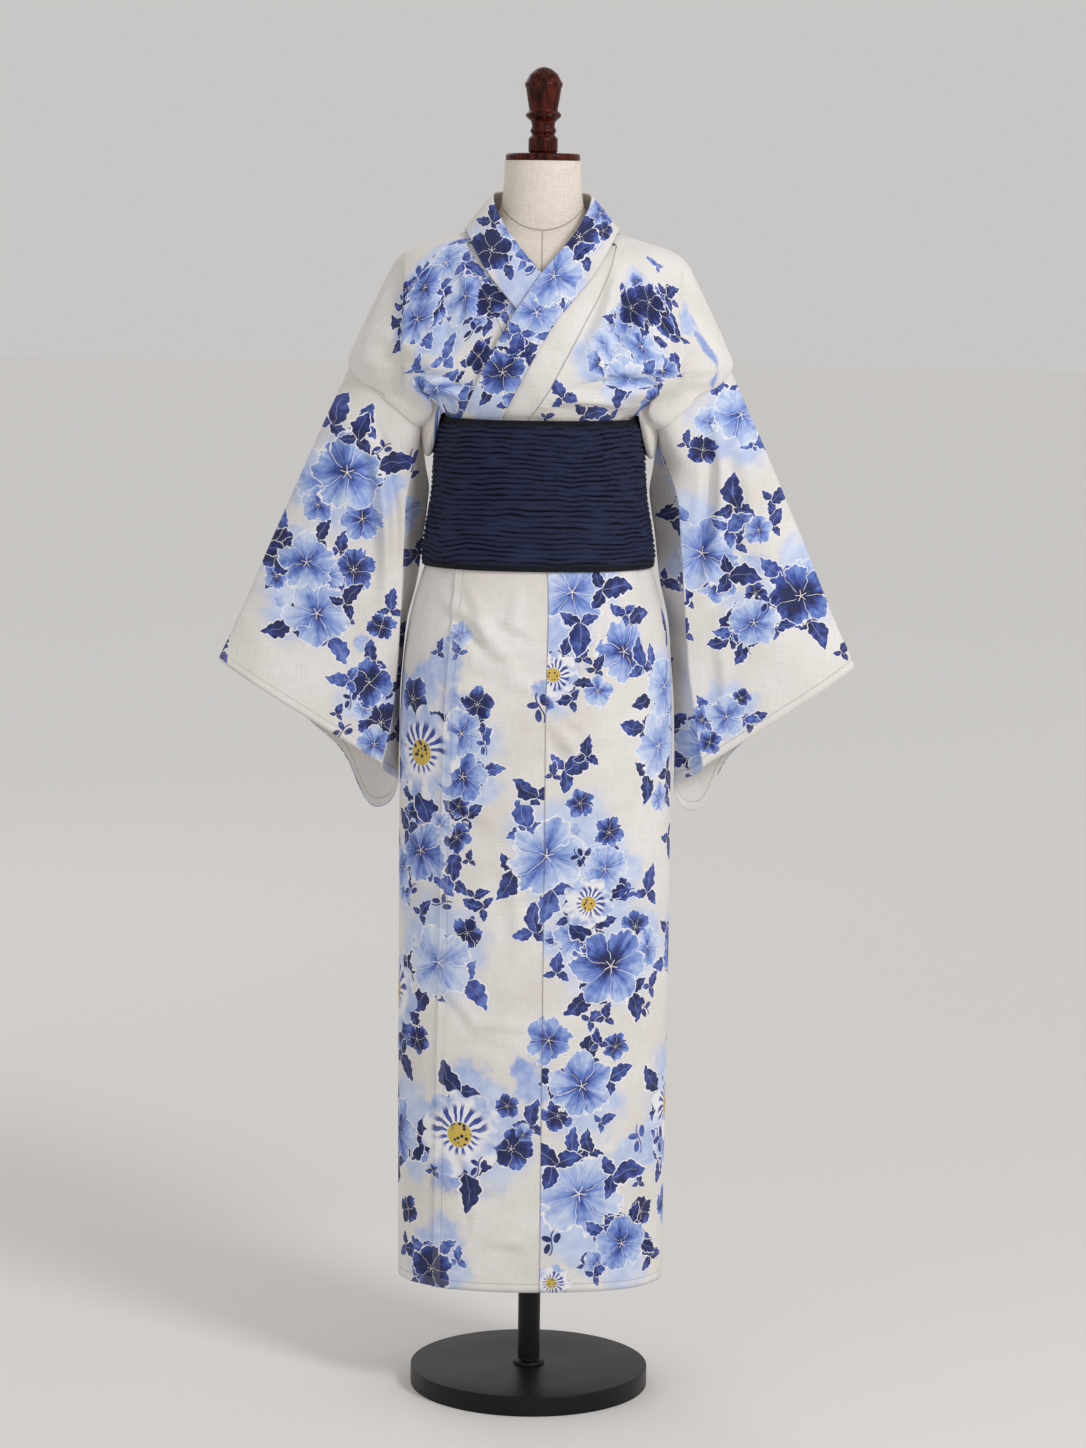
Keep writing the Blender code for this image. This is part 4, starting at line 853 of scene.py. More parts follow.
# The dye goes on in these passes, the first one lowest, each with the screens of one kind.
PRINT_LAYERS = {
    "wash_a": "wash", "wash_b": "wash", "leaf_a": "leaf", "tint_a": "tint", "leaf_b": "leaf",
    "tint_b": "tint", "bloom_a": "bloom", "leaf_c": "leaf", "bloom_b": "bloom",
    "daisy_a": "daisy", "sprig_a": "sprig",
}
CLOTHS_UNDER = {"L": "LB", "R": "RB", "O": "OB", "C": "C", "D": "D", "S": "S", "T": "T", "K": "K"}
GROWTH = {"bloom": 1.18, "tint": 1.12, "leaf": 1.22, "wash": 1.25, "daisy": 1.14, "sprig": 1.15}
LARGE_MOTIF = 28
# A motif's corners carry a code, tens for its petals and the rest for how dark it is dyed.
PETAL_CODE = 10.0
DARK_CODE = 9.0
# A place this far from a motif's middle, in radii, is one that no motif covers.
NOWHERE = 9.0
COVERED = 4.0
STAMP_MARGIN = 0.004
MERGE_REACH = 0.00004


def fill_out():
    """Grow each motif, and set leaves, small flowers and a pale blot about the large ones."""
    hand = random.Random(3)
    added = []
    for motif in MOTIFS:
        motif["radius"] *= GROWTH[motif["kind"]]
        motif["dark"] += hand.uniform(-0.03, 0.03)
        if motif["kind"] not in ("bloom", "daisy") or motif["radius"] < LARGE_MOTIF:
            continue
        radius = motif["radius"]
        first = hand.uniform(0, 360)
        beside = [("wash", 0.45, 1.55, 0.15)]
        beside += [("leaf", 0.98, 0.62, hand.choice([0.6, 0.8, 0.95])) for _ in range(3)]
        beside += [("tint", 1.05, 0.50, hand.choice([0.2, 0.45, 0.8]))]
        for number, (kind, away, size, dark) in enumerate(beside):
            turn = first + 83 * number + hand.uniform(-20, 20)
            added.append(dict(
                cloth=motif["cloth"], kind=kind, petals=5, turn=turn + hand.uniform(-25, 25),
                across=motif["across"] + away * radius * math.cos(math.radians(turn)),
                up=motif["up"] + away * radius * math.sin(math.radians(turn)),
                radius=size * radius * hand.uniform(0.85, 1.15),
                dark=dark + hand.uniform(-0.05, 0.05)))
    MOTIFS.extend(added)


def share_passes():
    """Give each motif a pass of its kind in which it crosses the others least."""
    for motif in MOTIFS:
        choices = [name for name, kind in PRINT_LAYERS.items() if kind == motif["kind"]]
        crossed = []
        for name in choices:
            worst = 0.0
            for other in MOTIFS:
                if other.get("pass") == name and other["cloth"] == motif["cloth"]:
                    apart = math.hypot(other["across"] - motif["across"], other["up"] - motif["up"])
                    worst = max(worst, 1.0 - apart / (other["radius"] + motif["radius"]))
            crossed.append(worst)
        motif["pass"] = choices[crossed.index(min(crossed))]


def stamp(sheet, layer):
    """Each face corner's place in the motif that covers it: across, up, and its kind."""
    corners = np.array(sheet.print_at)[np.array(sheet.faces)]
    letters = np.array(sheet.letters)
    held = np.full((len(corners), 4, 3), (NOWHERE, NOWHERE, 0.0))
    nearest = np.full(len(corners), NOWHERE)
    for motif in MOTIFS:
        if motif["pass"] != layer:
            continue
        under = [key for key, cloths in CLOTHS_UNDER.items() if motif["cloth"] in cloths]
        on = np.isin(letters, under)
        if not np.any(on):
            continue
        radius = motif["radius"] / 1000
        centre = np.array([motif["across"] / 1000, motif["up"] / 1000])
        turn = math.radians(motif["turn"])
        offset = (corners - centre) / radius
        x = offset[..., 0] * math.cos(turn) + offset[..., 1] * math.sin(turn)
        y = offset[..., 1] * math.cos(turn) - offset[..., 0] * math.sin(turn)
        middle = np.hypot(x.mean(axis=1), y.mean(axis=1))
        take = on & (middle < 1.0 + STAMP_MARGIN / radius) & (middle < nearest)
        code = PETAL_CODE * motif["petals"] + DARK_CODE * motif["dark"]
        held[take] = np.stack([x, y, np.full_like(x, code)], axis=2)[take]
        nearest[take] = middle[take]
    return held


def make_cloth(name, sheet, outside, inside, wall, slot, *nodes):
    """The sheet as an object with its print, its wall and its place in the frame."""
    name = ("crepe_" if slot == "navy_crepe" else "cloth_") + name
    mesh = bpy.data.meshes.new(name)
    mesh.from_pydata(sheet.points, [], sheet.faces)
    cloth_map = mesh.uv_layers.new(name="cloth")
    corner_places = np.array(sheet.print_at)[np.array(sheet.faces)].reshape(-1)
    cloth_map.data.foreach_set("uv", corner_places)
    edges = mesh.attributes.new("edges", "FLOAT_VECTOR", "POINT")
    edges.data.foreach_set("vector", np.array(sheet.edges).reshape(-1))
    if slot == "printed_cotton":
        for layer in PRINT_LAYERS:
            held = mesh.attributes.new(layer, "FLOAT_VECTOR", "CORNER")
            held.data.foreach_set("vector", stamp(sheet, layer).reshape(-1))
    work = bmesh.new()
    work.from_mesh(mesh)
    bmesh.ops.remove_doubles(work, verts=work.verts, dist=MERGE_REACH)
    work.to_mesh(mesh)
    work.free()
    mesh.materials.append(outside)
    mesh.materials.append(inside)
    mesh.shade_smooth()
    obj = bpy.data.objects.new(name, mesh)
    bpy.context.scene.collection.objects.link(obj)
    if wall:
        shell = obj.modifiers.new("wall", "SOLIDIFY")
        shell.thickness = wall
        shell.offset = 0.0
        shell.material_offset = 1
        shell.material_offset_rim = 0
    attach(obj, "root")
    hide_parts(*nodes)
    return obj


class Dyer:
    """Shader sums on one node tree."""

    def __init__(self, tree):
        self.tree = tree

    def node(self, kind, **settings):
        made = self.tree.nodes.new(kind)
        for key, value in settings.items():
            setattr(made, key, value)
        return made

    def feed(self, socket, value):
        if isinstance(value, bpy.types.NodeSocket):
            self.tree.links.new(value, socket)
        else:
            socket.default_value = value

    def calc(self, operation, *values):
        made = self.node("ShaderNodeMath", operation=operation)
        for socket, value in zip(made.inputs, values):
            self.feed(socket, value)
        return made.outputs[0]

    def add(self, *values):
        total = values[0]
        for value in values[1:]:
            total = self.calc("ADD", total, value)
        return total

    def times(self, *values):
        total = values[0]
        for value in values[1:]:
            total = self.calc("MULTIPLY", total, value)
        return total

    def less(self, value, taken):
        return self.calc("SUBTRACT", value, taken)

    def size(self, value):
        return self.calc("ABSOLUTE", value)

    def power(self, value, exponent):
        return self.calc("POWER", value, exponent)

    def sine(self, value):
        return self.calc("SINE", value)

    def most(self, a, b):
        return self.calc("MAXIMUM", a, b)

    def ramp(self, value, start, end):
        made = self.node("ShaderNodeMapRange", interpolation_type="SMOOTHSTEP")
        for key, part in (("Value", value), ("From Min", start), ("From Max", end)):
            self.feed(made.inputs[key], part)
        return made.outputs["Result"]

    def mix(self, amount, under, over):
        made = self.node("ShaderNodeMix", data_type="RGBA")
        self.feed(made.inputs[0], amount)
        self.feed(made.inputs[6], under)
        self.feed(made.inputs[7], over)
        return made.outputs[2]

    def place(self, x, y, z):
        made = self.node("ShaderNodeCombineXYZ")
        for socket, value in zip(made.inputs, (x, y, z)):
            self.feed(socket, value)
        return made.outputs[0]

    def parts(self, vector):
        made = self.node("ShaderNodeSeparateXYZ")
        self.feed(made.inputs[0], vector)
        return made.outputs[0], made.outputs[1], made.outputs[2]

    def stretch(self, vector, x, y, z):
        made = self.node("ShaderNodeVectorMath", operation="MULTIPLY")
        self.feed(made.inputs[0], vector)
        made.inputs[1].default_value = (x, y, z)
        return made.outputs[0]

    def noise(self, vector, scale, detail=2.0):
        made = self.node("ShaderNodeTexNoise")
        self.feed(made.inputs["Vector"], vector)
        made.inputs["Scale"].default_value = scale
        made.inputs["Detail"].default_value = detail
        return made.outputs[0]

    def drift(self, vector, scale, detail):
        """Noise to both sides of 0."""
        return self.less(self.noise(vector, scale, detail), 0.5)

    def dots(self, vector, scale):
        made = self.node("ShaderNodeTexVoronoi")
        self.feed(made.inputs["Vector"], vector)
        made.inputs["Scale"].default_value = scale
        return made.outputs["Distance"]

    def ink(self, tone):
        """Blue dye from palest, at 0, to navy, at 1."""
        made = self.node("ShaderNodeValToRGB")
        self.feed(made.inputs[0], tone)
        steps = [(0.0, 208, 219, 240), (0.25, 168, 187, 229), (0.50, 112, 138, 206),
                 (0.72, 68, 87, 163), (0.88, 43, 53, 112), (1.0, 32, 38, 82)]
        stops = made.color_ramp.elements
        while len(stops) < len(steps):
            stops.new(0.5)
        for stop, (at, *colour) in zip(stops, steps):
            stop.position = at
            stop.color = dye(*colour)
        return made.outputs[0]


def dye(red, green, blue):
    """A colour by its everyday 0 to 255 numbers, as the shader wants it."""
    parts = [c / 255 for c in (red, green, blue)]
    return (*[p / 12.92 if p <= 0.04045 else ((p + 0.055) / 1.055) ** 2.4 for p in parts], 1.0)


RESIST_WHITE = dye(238, 237, 240)
IVORY = dye(232, 228, 225)
IVORY_SHADE = dye(222, 217, 212)
SLUB_GREY = dye(194, 188, 183)
# The crepe's hollow colour is painted shade for its crinkle hollows; its ridge colour is the navy
# of the ridges.
CREPE_HOLLOW_PAINTED_SHADE = dye(5, 7, 17)
CREPE_RIDGE = dye(33, 41, 72)


def motif_group(name, draw):
    """A node group that turns a place in a motif into its colour and how much it covers."""
    group = bpy.data.node_groups.new(name, "ShaderNodeTree")
    group.interface.new_socket("Place", in_out="INPUT", socket_type="NodeSocketVector")
    group.interface.new_socket("Colour", in_out="OUTPUT", socket_type="NodeSocketColor")
    group.interface.new_socket("Cover", in_out="OUTPUT", socket_type="NodeSocketFloat")
    hand = Dyer(group)
    start = hand.node("NodeGroupInput")
    end = hand.node("NodeGroupOutput")
    x, y, code = hand.parts(start.outputs[0])
    petals = hand.calc("FLOOR", hand.times(code, 1 / PETAL_CODE))
    dark = hand.times(hand.less(code, hand.times(petals, PETAL_CODE)), 1 / DARK_CODE)
    near = hand.calc("LESS_THAN", hand.size(x), COVERED)
    colour, cover = draw(hand, x, y, petals, dark, hand.stretch(start.outputs[0], 1.0, 1.0, 7.0))
    hand.feed(end.inputs[0], colour)
    hand.feed(end.inputs[1], hand.times(cover, near))
    return group


def round_frame(hand, x, y):
    """Distance from the motif's middle and the angle about it."""
    reach = hand.calc("SQRT", hand.add(hand.times(x, x), hand.times(y, y)))
    return reach, hand.calc("ARCTAN2", y, x)


def draw_bloom(hand, x, y, petals, dark, place):
    """Broad petals, darkest at the heart, with undyed lines between and round them."""
    reach, angle = round_frame(hand, x, y)
    drift = hand.drift(place, 1.5, 2.0)
    frill = hand.drift(place, 6.0, 2.0)
    half = hand.times(hand.add(angle, hand.times(drift, 1.3)), petals, 0.5)
    lobe = hand.size(hand.calc("COSINE", half))
    rim = hand.add(0.62, hand.times(0.26, hand.power(lobe, 0.6)))
    rim = hand.add(rim, hand.times(drift, 0.50), hand.times(frill, 0.30))
    cover = hand.ramp(reach, hand.add(rim, 0.050), hand.add(rim, 0.032))
    inside = hand.ramp(reach, hand.add(rim, 0.012), hand.add(rim, -0.012))
    safe = hand.add(reach, 0.02)
    side_x = hand.calc("DIVIDE", x, safe)
    side_y = hand.calc("DIVIDE", y, safe)
    _, _, code = hand.parts(place)
    streak_at = hand.place(hand.times(side_x, 4.0), hand.times(side_y, 4.0),
                           hand.add(hand.times(reach, 0.7), code))
    streak = hand.drift(streak_at, 1.7, 2.0)
    petal_at = hand.place(hand.times(side_x, 1.3), hand.times(side_y, 1.3), code)
    uneven = hand.drift(petal_at, 1.0, 0.0)
    depth = hand.calc("DIVIDE", reach, rim)
    heart = hand.power(hand.most(hand.less(1.05, depth), 0.0), 1.5)
    tone = hand.add(
        hand.times(heart, hand.add(0.48, hand.times(dark, 0.42))),
        hand.times(hand.power(dark, 1.5), 0.95),
        hand.times(streak, 0.55),
        hand.times(uneven, 0.75),
        hand.times(frill, 0.30),
        hand.times(hand.ramp(lobe, 0.45, 0.10), 0.16))
    petal = hand.ink(tone)
    between = hand.times(lobe, reach)
    line = hand.times(hand.ramp(between, 0.034, 0.014), hand.ramp(reach, 0.10, 0.22))
    petal = hand.mix(hand.times(line, 0.70), petal, RESIST_WHITE)
    star = hand.size(hand.sine(hand.times(angle, 2.5)))
    stamen = hand.times(hand.ramp(hand.times(star, reach), 0.030, 0.016),
                        hand.ramp(reach, 0.18, 0.15))
    petal = hand.mix(stamen, petal, dye(240, 232, 222))
    return hand.mix(inside, RESIST_WHITE, petal), cover


LEAFLETS = [(-0.28, 0.0, -112.0, 0.88), (-0.30, 0.02, 118.0, 0.80), (-0.34, 0.0, 4.0, 1.32)]


def draw_leaf(hand, x, y, petals, dark, place):
    """Three pointed leaflets from one base, with toothed edges and faint veins."""
    drift = hand.drift(place, 2.0, 2.0)
    cloud = hand.drift(place, 3.4, 2.0)
    colour = RESIST_WHITE
    covered = 0.0
    for from_x, from_y, turn, length in LEAFLETS:
        lean = math.radians(turn)
        right = hand.add(x, -from_x)
        rise = hand.add(y, -from_y)
        u = hand.add(hand.times(right, 2 * math.cos(lean) / length),
                     hand.times(rise, 2 * math.sin(lean) / length), -1.0)
        v = hand.add(hand.times(rise, 2 * math.cos(lean) / length),
                     hand.times(right, -2 * math.sin(lean) / length))
        v = hand.add(v, hand.times(u, u, 0.20), -0.06, hand.times(drift, 0.55))
        off = hand.size(v)
        span = hand.most(hand.less(1.0, hand.times(u, u)), 0.0)
        teeth = hand.size(hand.sine(hand.add(hand.times(u, 6.0), hand.times(dark, 9.0))))
        wide = hand.times(hand.power(span, 0.8),
                          hand.add(0.46, hand.times(u, -0.20), hand.times(teeth, 0.13)))
        shape = hand.times(hand.ramp(off, hand.add(wide, 0.075), hand.add(wide, 0.050)),
                           hand.ramp(hand.size(u), 0.985, 0.965))
        inside = hand.times(hand.ramp(off, wide, hand.add(wide, -0.035)), shape)
        tone = hand.add(0.30, hand.times(dark, 0.66), hand.times(cloud, 0.75), hand.times(u, -0.10))
        vein = hand.times(hand.ramp(off, 0.030, 0.010), hand.ramp(u, 0.8, 0.2), 0.45)
        leaf = hand.mix(vein, hand.ink(tone), dye(170, 184, 222))
        colour = hand.mix(shape, colour, hand.mix(inside, RESIST_WHITE, leaf))
        covered = hand.most(covered, shape)
    return colour, covered


def draw_wash(hand, x, y, petals, dark, place):
    """A pale blot with a soft edge."""
    reach, _ = round_frame(hand, x, y)
    drift = hand.drift(place, 1.7, 3.0)
    blot = hand.drift(place, 4.0, 2.0)
    edge = hand.add(reach, hand.times(drift, 1.3))
    cover = hand.times(hand.ramp(edge, 0.92, 0.45), hand.ramp(reach, 1.0, 0.9), 0.92)
    tone = hand.add(hand.times(dark, 0.62), hand.times(blot, 0.45), 0.02)
    return hand.ink(tone), cover


def draw_daisy(hand, x, y, petals, dark, place):
    """Narrow pale petals, dark strokes on one side and a dotted yellow middle."""
    reach, angle = round_frame(hand, x, y)
    drift = hand.drift(place, 1.8, 2.0)
    half = hand.times(hand.add(angle, hand.times(drift, 0.6)), petals, 0.5)
    lobe = hand.size(hand.calc("COSINE", half))
    rim = hand.add(0.66, hand.times(0.20, hand.power(lobe, 0.7)), hand.times(drift, 0.34))
    cover = hand.ramp(reach, hand.add(rim, 0.05), hand.add(rim, 0.03))
    far = hand.ramp(reach, 0.36, 0.70)
    cloud = hand.ramp(hand.noise(place, 2.3, 2.0), 0.38, 0.60)
    tone = hand.add(hand.times(dark, 0.62), hand.times(drift, 0.6), hand.times(lobe, -0.12))
    petal = hand.mix(hand.times(far, cloud), RESIST_WHITE, hand.ink(tone))
    ray_turn = hand.times(hand.add(angle, hand.times(drift, 0.8)), 8.0)
    ray = hand.ramp(hand.size(hand.sine(ray_turn)), 0.62, 0.80)
    ray = hand.times(ray, hand.ramp(reach, 0.26, 0.30), hand.ramp(reach, 0.66, 0.52))
    upper = hand.ramp(hand.add(x, hand.times(drift, 0.8)), -0.10, 0.12)
    petal = hand.mix(hand.times(ray, upper), petal, dye(58, 74, 152))
    skirt = hand.ramp(hand.size(hand.sine(ray_turn)), 0.70, 0.85)
    skirt = hand.times(skirt, hand.ramp(reach, 0.24, 0.28), hand.ramp(reach, 0.46, 0.34))
    petal = hand.mix(skirt, petal, dye(74, 94, 172))
    petal = hand.mix(hand.ramp(reach, 0.265, 0.235), petal, dye(206, 178, 80))
    seed = hand.times(hand.ramp(hand.dots(place, 9.5), 0.40, 0.30), hand.ramp(reach, 0.26, 0.23))
    return hand.mix(seed, petal, dye(34, 40, 74)), cover


def draw_sprig(hand, x, y, petals, dark, place):
    """Three buds on a bent stem."""
    frill = hand.times(hand.drift(place, 3.0, 1.0), 0.5)
    cover = 0.0
    buds = [(-0.48, 0.14, 0.36, 0.20), (0.16, 0.42, 0.20, 0.36), (0.44, -0.22, 0.38, 0.22)]
    for bud_x, bud_y, wide, tall in buds:
        across = hand.times(hand.add(x, -bud_x), 1 / wide)
        up = hand.times(hand.add(y, -bud_y), 1 / tall)
        far = hand.calc("SQRT", hand.add(hand.times(across, across), hand.times(up, up)))
        cover = hand.most(cover, hand.ramp(hand.add(far, frill), 1.06, 0.94))
    stem = hand.size(hand.less(y, hand.times(0.22, hand.sine(hand.times(x, 2.6)))))
    stem = hand.times(hand.ramp(stem, 0.060, 0.035), hand.ramp(hand.size(x), 0.95, 0.85))
    cloud = hand.drift(place, 3.0, 1.0)
    tone = hand.add(0.38, hand.times(dark, 0.62), hand.times(cloud, 0.6))
    return hand.ink(tone), hand.most(cover, stem)


def new_finish(name):
    """An empty material with its shader, ready for its nodes."""
    material = bpy.data.materials.new(name)
    material.use_nodes = True
    return material, Dyer(material.node_tree), material.node_tree.nodes["Principled BSDF"]


def settle(shader, sockets):
    """Values that hold all over a surface, set on the shader's own sockets."""
    for name, value in sockets.items():
        shader.inputs[name].default_value = value


def weave(hand, cloth, fine=1.0):
    """Uneven threads both ways: thick and thin slubs, from 0 to 1."""
    warp = hand.noise(hand.stretch(cloth, 900.0 * fine, 38.0, 1.0), 1.0, 2.0)
    weft = hand.noise(hand.stretch(cloth, 38.0, 900.0 * fine, 1.0), 1.0, 2.0)
    return hand.times(hand.add(warp, weft), 0.5)


def bumped(hand, shader, height, distance):
    relief = hand.node("ShaderNodeBump")
    relief.inputs["Strength"].default_value = 1.0
    relief.inputs["Distance"].default_value = distance
    hand.feed(relief.inputs["Height"], height)
    hand.feed(shader.inputs["Normal"], relief.outputs[0])


HEM_WIDTH = 0.0108
STITCHES_A_METRE = 1600.0 / (2 * math.pi)


def cotton_finish(name, printed):
    """Ivory cotton with slubs, pressed hems, painted shade along its stitches and seams and,
    outside, the blue print.
    """
    material, hand, shader = new_finish(name)
    cloth = hand.node("ShaderNodeUVMap", uv_map="cloth").outputs[0]
    edges = hand.node("ShaderNodeAttribute", attribute_name="edges").outputs["Vector"]
    hem, seam, _ = hand.parts(edges)
    threads = weave(hand, cloth)
    cloud = hand.noise(cloth, 9.0, 3.0)
    plain = hand.mix(hand.ramp(cloud, 0.35, 0.68), IVORY, IVORY_SHADE)
    plain = hand.mix(hand.times(hand.ramp(threads, 0.42, 0.62), 0.26), plain, SLUB_GREY)
    if printed:
        for layer, kind in PRINT_LAYERS.items():
            spot = hand.node("ShaderNodeAttribute", attribute_name=layer).outputs["Vector"]
            drawn = hand.node("ShaderNodeGroup", node_tree=PRINTS[kind])
            hand.feed(drawn.inputs[0], spot)
            fade = hand.times(drawn.outputs["Cover"], hand.add(0.90, hand.times(threads, 0.16)))
            plain = hand.mix(fade, plain, drawn.outputs["Colour"])
    band = hand.ramp(hem, HEM_WIDTH + 0.0004, HEM_WIDTH - 0.0004)
    plain = hand.mix(hand.times(band, 0.07), plain, dye(232, 228, 224))
    # The hem's stitch dimples are painted darker, as painted shade.
    stitch_x, _, _ = hand.parts(cloth)
    dash = hand.sine(hand.times(stitch_x, 2 * math.pi * STITCHES_A_METRE))
    dash = hand.ramp(dash, -0.2, 0.2)
    on_line = hand.ramp(hand.size(hand.add(hem, -HEM_WIDTH)), 0.0006, 0.0002)
    stitch = hand.times(on_line, hand.add(0.35, hand.times(dash, 0.65)))
    plain = hand.mix(hand.times(stitch, 0.45), plain, dye(176, 170, 166))
    # The seams' valleys are painted darker, as painted shade.
    sewn = hand.ramp(seam, 0.0011, 0.0002)
    plain = hand.mix(hand.times(sewn, 0.26), plain, dye(160, 156, 155))
    hand.feed(shader.inputs["Base Color"], plain)
    settle(shader, {"Roughness": 0.82, "Specular IOR Level": 0.25, "Sheen Weight": 0.08,
                    "Sheen Roughness": 0.5})
    crumple = hand.add(hand.times(hand.noise(cloth, 26.0, 4.0), 0.85),
                       hand.times(hand.noise(cloth, 9.0, 3.0), 3.2))
    pucker = hand.times(hand.noise(hand.stretch(cloth, 260.0, 260.0, 1.0), 1.0, 1.0),
                        hand.ramp(seam, 0.008, 0.0))
    height = hand.add(
        hand.times(threads, 0.08), crumple, hand.times(band, 0.30),
        hand.times(stitch, -0.35), hand.times(sewn, -0.5), hand.times(pucker, 0.35))
    bumped(hand, shader, height, 0.0016)
    return material


def crepe_finish():
    """Navy crinkled crepe with painted shade in its crinkle hollows and a dull sheen on its ridges.
    """
    material, hand, shader = new_finish("navy_crepe_cloth")
    cloth = hand.node("ShaderNodeUVMap", uv_map="cloth").outputs[0]
    edges = hand.node("ShaderNodeAttribute", attribute_name="edges").outputs["Vector"]
    _, _, ridge = hand.parts(edges)
    threads = weave(hand, cloth, 0.9)
    fine = hand.noise(hand.stretch(cloth, 24.0, 520.0, 1.0), 1.0, 3.0)
    # Painted shade: by the crinkle's height, the hollows are painted near black and the ridges
    # navy.
    high = hand.add(ridge, hand.times(fine, 0.5), -0.25)
    colour = hand.mix(hand.ramp(high, 0.15, 0.95), CREPE_HOLLOW_PAINTED_SHADE, CREPE_RIDGE)
    colour = hand.mix(hand.times(hand.ramp(threads, 0.45, 0.65), 0.35), colour, dye(24, 30, 54))
    hand.feed(shader.inputs["Base Color"], colour)
    hand.feed(shader.inputs["Roughness"], hand.add(0.48, hand.times(fine, 0.22)))
    settle(shader, {"Specular IOR Level": 0.22, "Sheen Weight": 0.03, "Sheen Roughness": 0.45})
    bumped(hand, shader, hand.add(hand.times(fine, 1.0), hand.times(threads, 0.12)), 0.0028)
    return material


NECK_SEAM_Z = 1.468
NECK_TOP_Z = 1.5385


def linen_finish():
    """Fine ivory linen drawn tight, with the cover's seams pressed into it."""
    material, hand, shader = new_finish("ivory_linen_cover")
    spot = hand.node("ShaderNodeTexCoord").outputs["Object"]
    x, y, z = hand.parts(spot)
    warp = hand.noise(hand.stretch(spot, 1500.0, 1500.0, 90.0), 1.0, 2.0)
    weft = hand.noise(hand.stretch(spot, 90.0, 90.0, 1500.0), 1.0, 2.0)
    threads = hand.times(hand.add(warp, weft), 0.5)
    colour = hand.mix(hand.ramp(threads, 0.40, 0.62), dye(232, 223, 212), dye(214, 204, 192))
    front = hand.calc("LESS_THAN", y, 0.0)
    collar_line = hand.add(NECK_SEAM_Z, hand.times(x, x, 7.0), hand.times(y, 0.30))
    round_neck = hand.ramp(hand.size(hand.less(z, collar_line)), 0.0014, 0.0003)
    below = hand.calc("LESS_THAN", z, collar_line)
    middle = hand.times(hand.ramp(hand.size(x), 0.0012, 0.0002), below)
    line = hand.most(round_neck, middle)
    colour = hand.mix(hand.times(line, 0.45), colour, dye(168, 156, 142))
    shade = hand.times(hand.ramp(z, NECK_TOP_Z - 0.0055, NECK_TOP_Z), front, 0.12)
    colour = hand.mix(shade, colour, dye(190, 180, 168))
    hand.feed(shader.inputs["Base Color"], colour)
    settle(shader, {"Roughness": 0.85, "Specular IOR Level": 0.25, "Sheen Weight": 0.12})
    bumped(hand, shader, hand.add(hand.times(threads, 0.12), hand.times(line, -0.9)), 0.0012)
    return material


def mahogany_finish():
    """Dark red-brown wood with long grain under a clear polish."""
    material, hand, shader = new_finish("polished_mahogany_wood")
    spot = hand.node("ShaderNodeTexCoord").outputs["Object"]
    grain = hand.noise(hand.stretch(spot, 260.0, 260.0, 14.0), 1.0, 4.0)
    pores = hand.noise(hand.stretch(spot, 900.0, 900.0, 40.0), 1.0, 2.0)
    colour = hand.mix(hand.ramp(grain, 0.35, 0.68), dye(30, 8, 5), dye(88, 30, 20))
    colour = hand.mix(hand.times(hand.ramp(pores, 0.58, 0.70), 0.5), colour, dye(24, 10, 9))
    hand.feed(shader.inputs["Base Color"], colour)
    hand.feed(shader.inputs["Roughness"], hand.add(0.24, hand.times(grain, 0.16)))
    settle(shader, {"Specular IOR Level": 0.12, "Coat Weight": 0.05, "Coat Roughness": 0.10})
    bumped(hand, shader, pores, 0.00025)
    return material


def steel_finish():
    """Black satin powder coat with a very fine texture."""
    material, hand, shader = new_finish("black_steel_coat")
    spot = hand.node("ShaderNodeTexCoord").outputs["Object"]
    fleck = hand.noise(spot, 900.0, 2.0)
    smear = hand.noise(spot, 14.0, 3.0)
    colour = hand.mix(hand.ramp(smear, 0.4, 0.7), dye(9, 9, 10), dye(17, 17, 18))
    hand.feed(shader.inputs["Base Color"], colour)
    hand.feed(shader.inputs["Roughness"], hand.add(0.32, hand.times(smear, 0.16)))
    settle(shader, {"Specular IOR Level": 0.25})
    bumped(hand, shader, fleck, 0.00012)
    return material


PRINTS = {
    "bloom": motif_group("bloom_print", draw_bloom),
    "tint": motif_group("tint_print", draw_bloom),
    "leaf": motif_group("leaf_print", draw_leaf),
    "wash": motif_group("wash_print", draw_wash),
    "daisy": motif_group("daisy_print", draw_daisy),
    "sprig": motif_group("sprig_print", draw_sprig),
}
printed_cotton = cotton_finish("printed_cotton_cloth", True)
plain_cotton = cotton_finish("plain_cotton_inside", False)
navy_crepe = crepe_finish()
ivory_linen = linen_finish()
mahogany = mahogany_finish()
black_steel = steel_finish()


def scatter(cloth, across, up, count, seed):
    """Motifs for the cloth that faces away, strewn as thickly as on the front."""
    hand = random.Random(seed)
    kinds = ["bloom", "leaf", "leaf", "tint", "wash", "leaf", "sprig", "bloom", "leaf"]
    if cloth != "K":
        kinds.append("daisy")
    sizes = {"bloom": 34, "leaf": 20, "tint": 26, "wash": 34, "sprig": 16, "daisy": 46}
    for number in range(count):
        kind = kinds[number % len(kinds)]
        dark = {"leaf": 0.8, "wash": 0.35, "sprig": 0.8}.get(kind, hand.choice([0.2, 0.35, 0.6]))
        MOTIFS.append(dict(
            cloth=cloth, across=hand.uniform(*across), up=hand.uniform(*up),
            radius=sizes[kind] * hand.uniform(0.8, 1.25), turn=hand.uniform(0, 360),
            kind=kind, petals=11 if kind == "daisy" else 5, dark=dark))


FRONT_COLUMNS = 84
BACK_COLUMNS = 52


ARMHOLES = {}
BACK_MIDDLE = 0.70


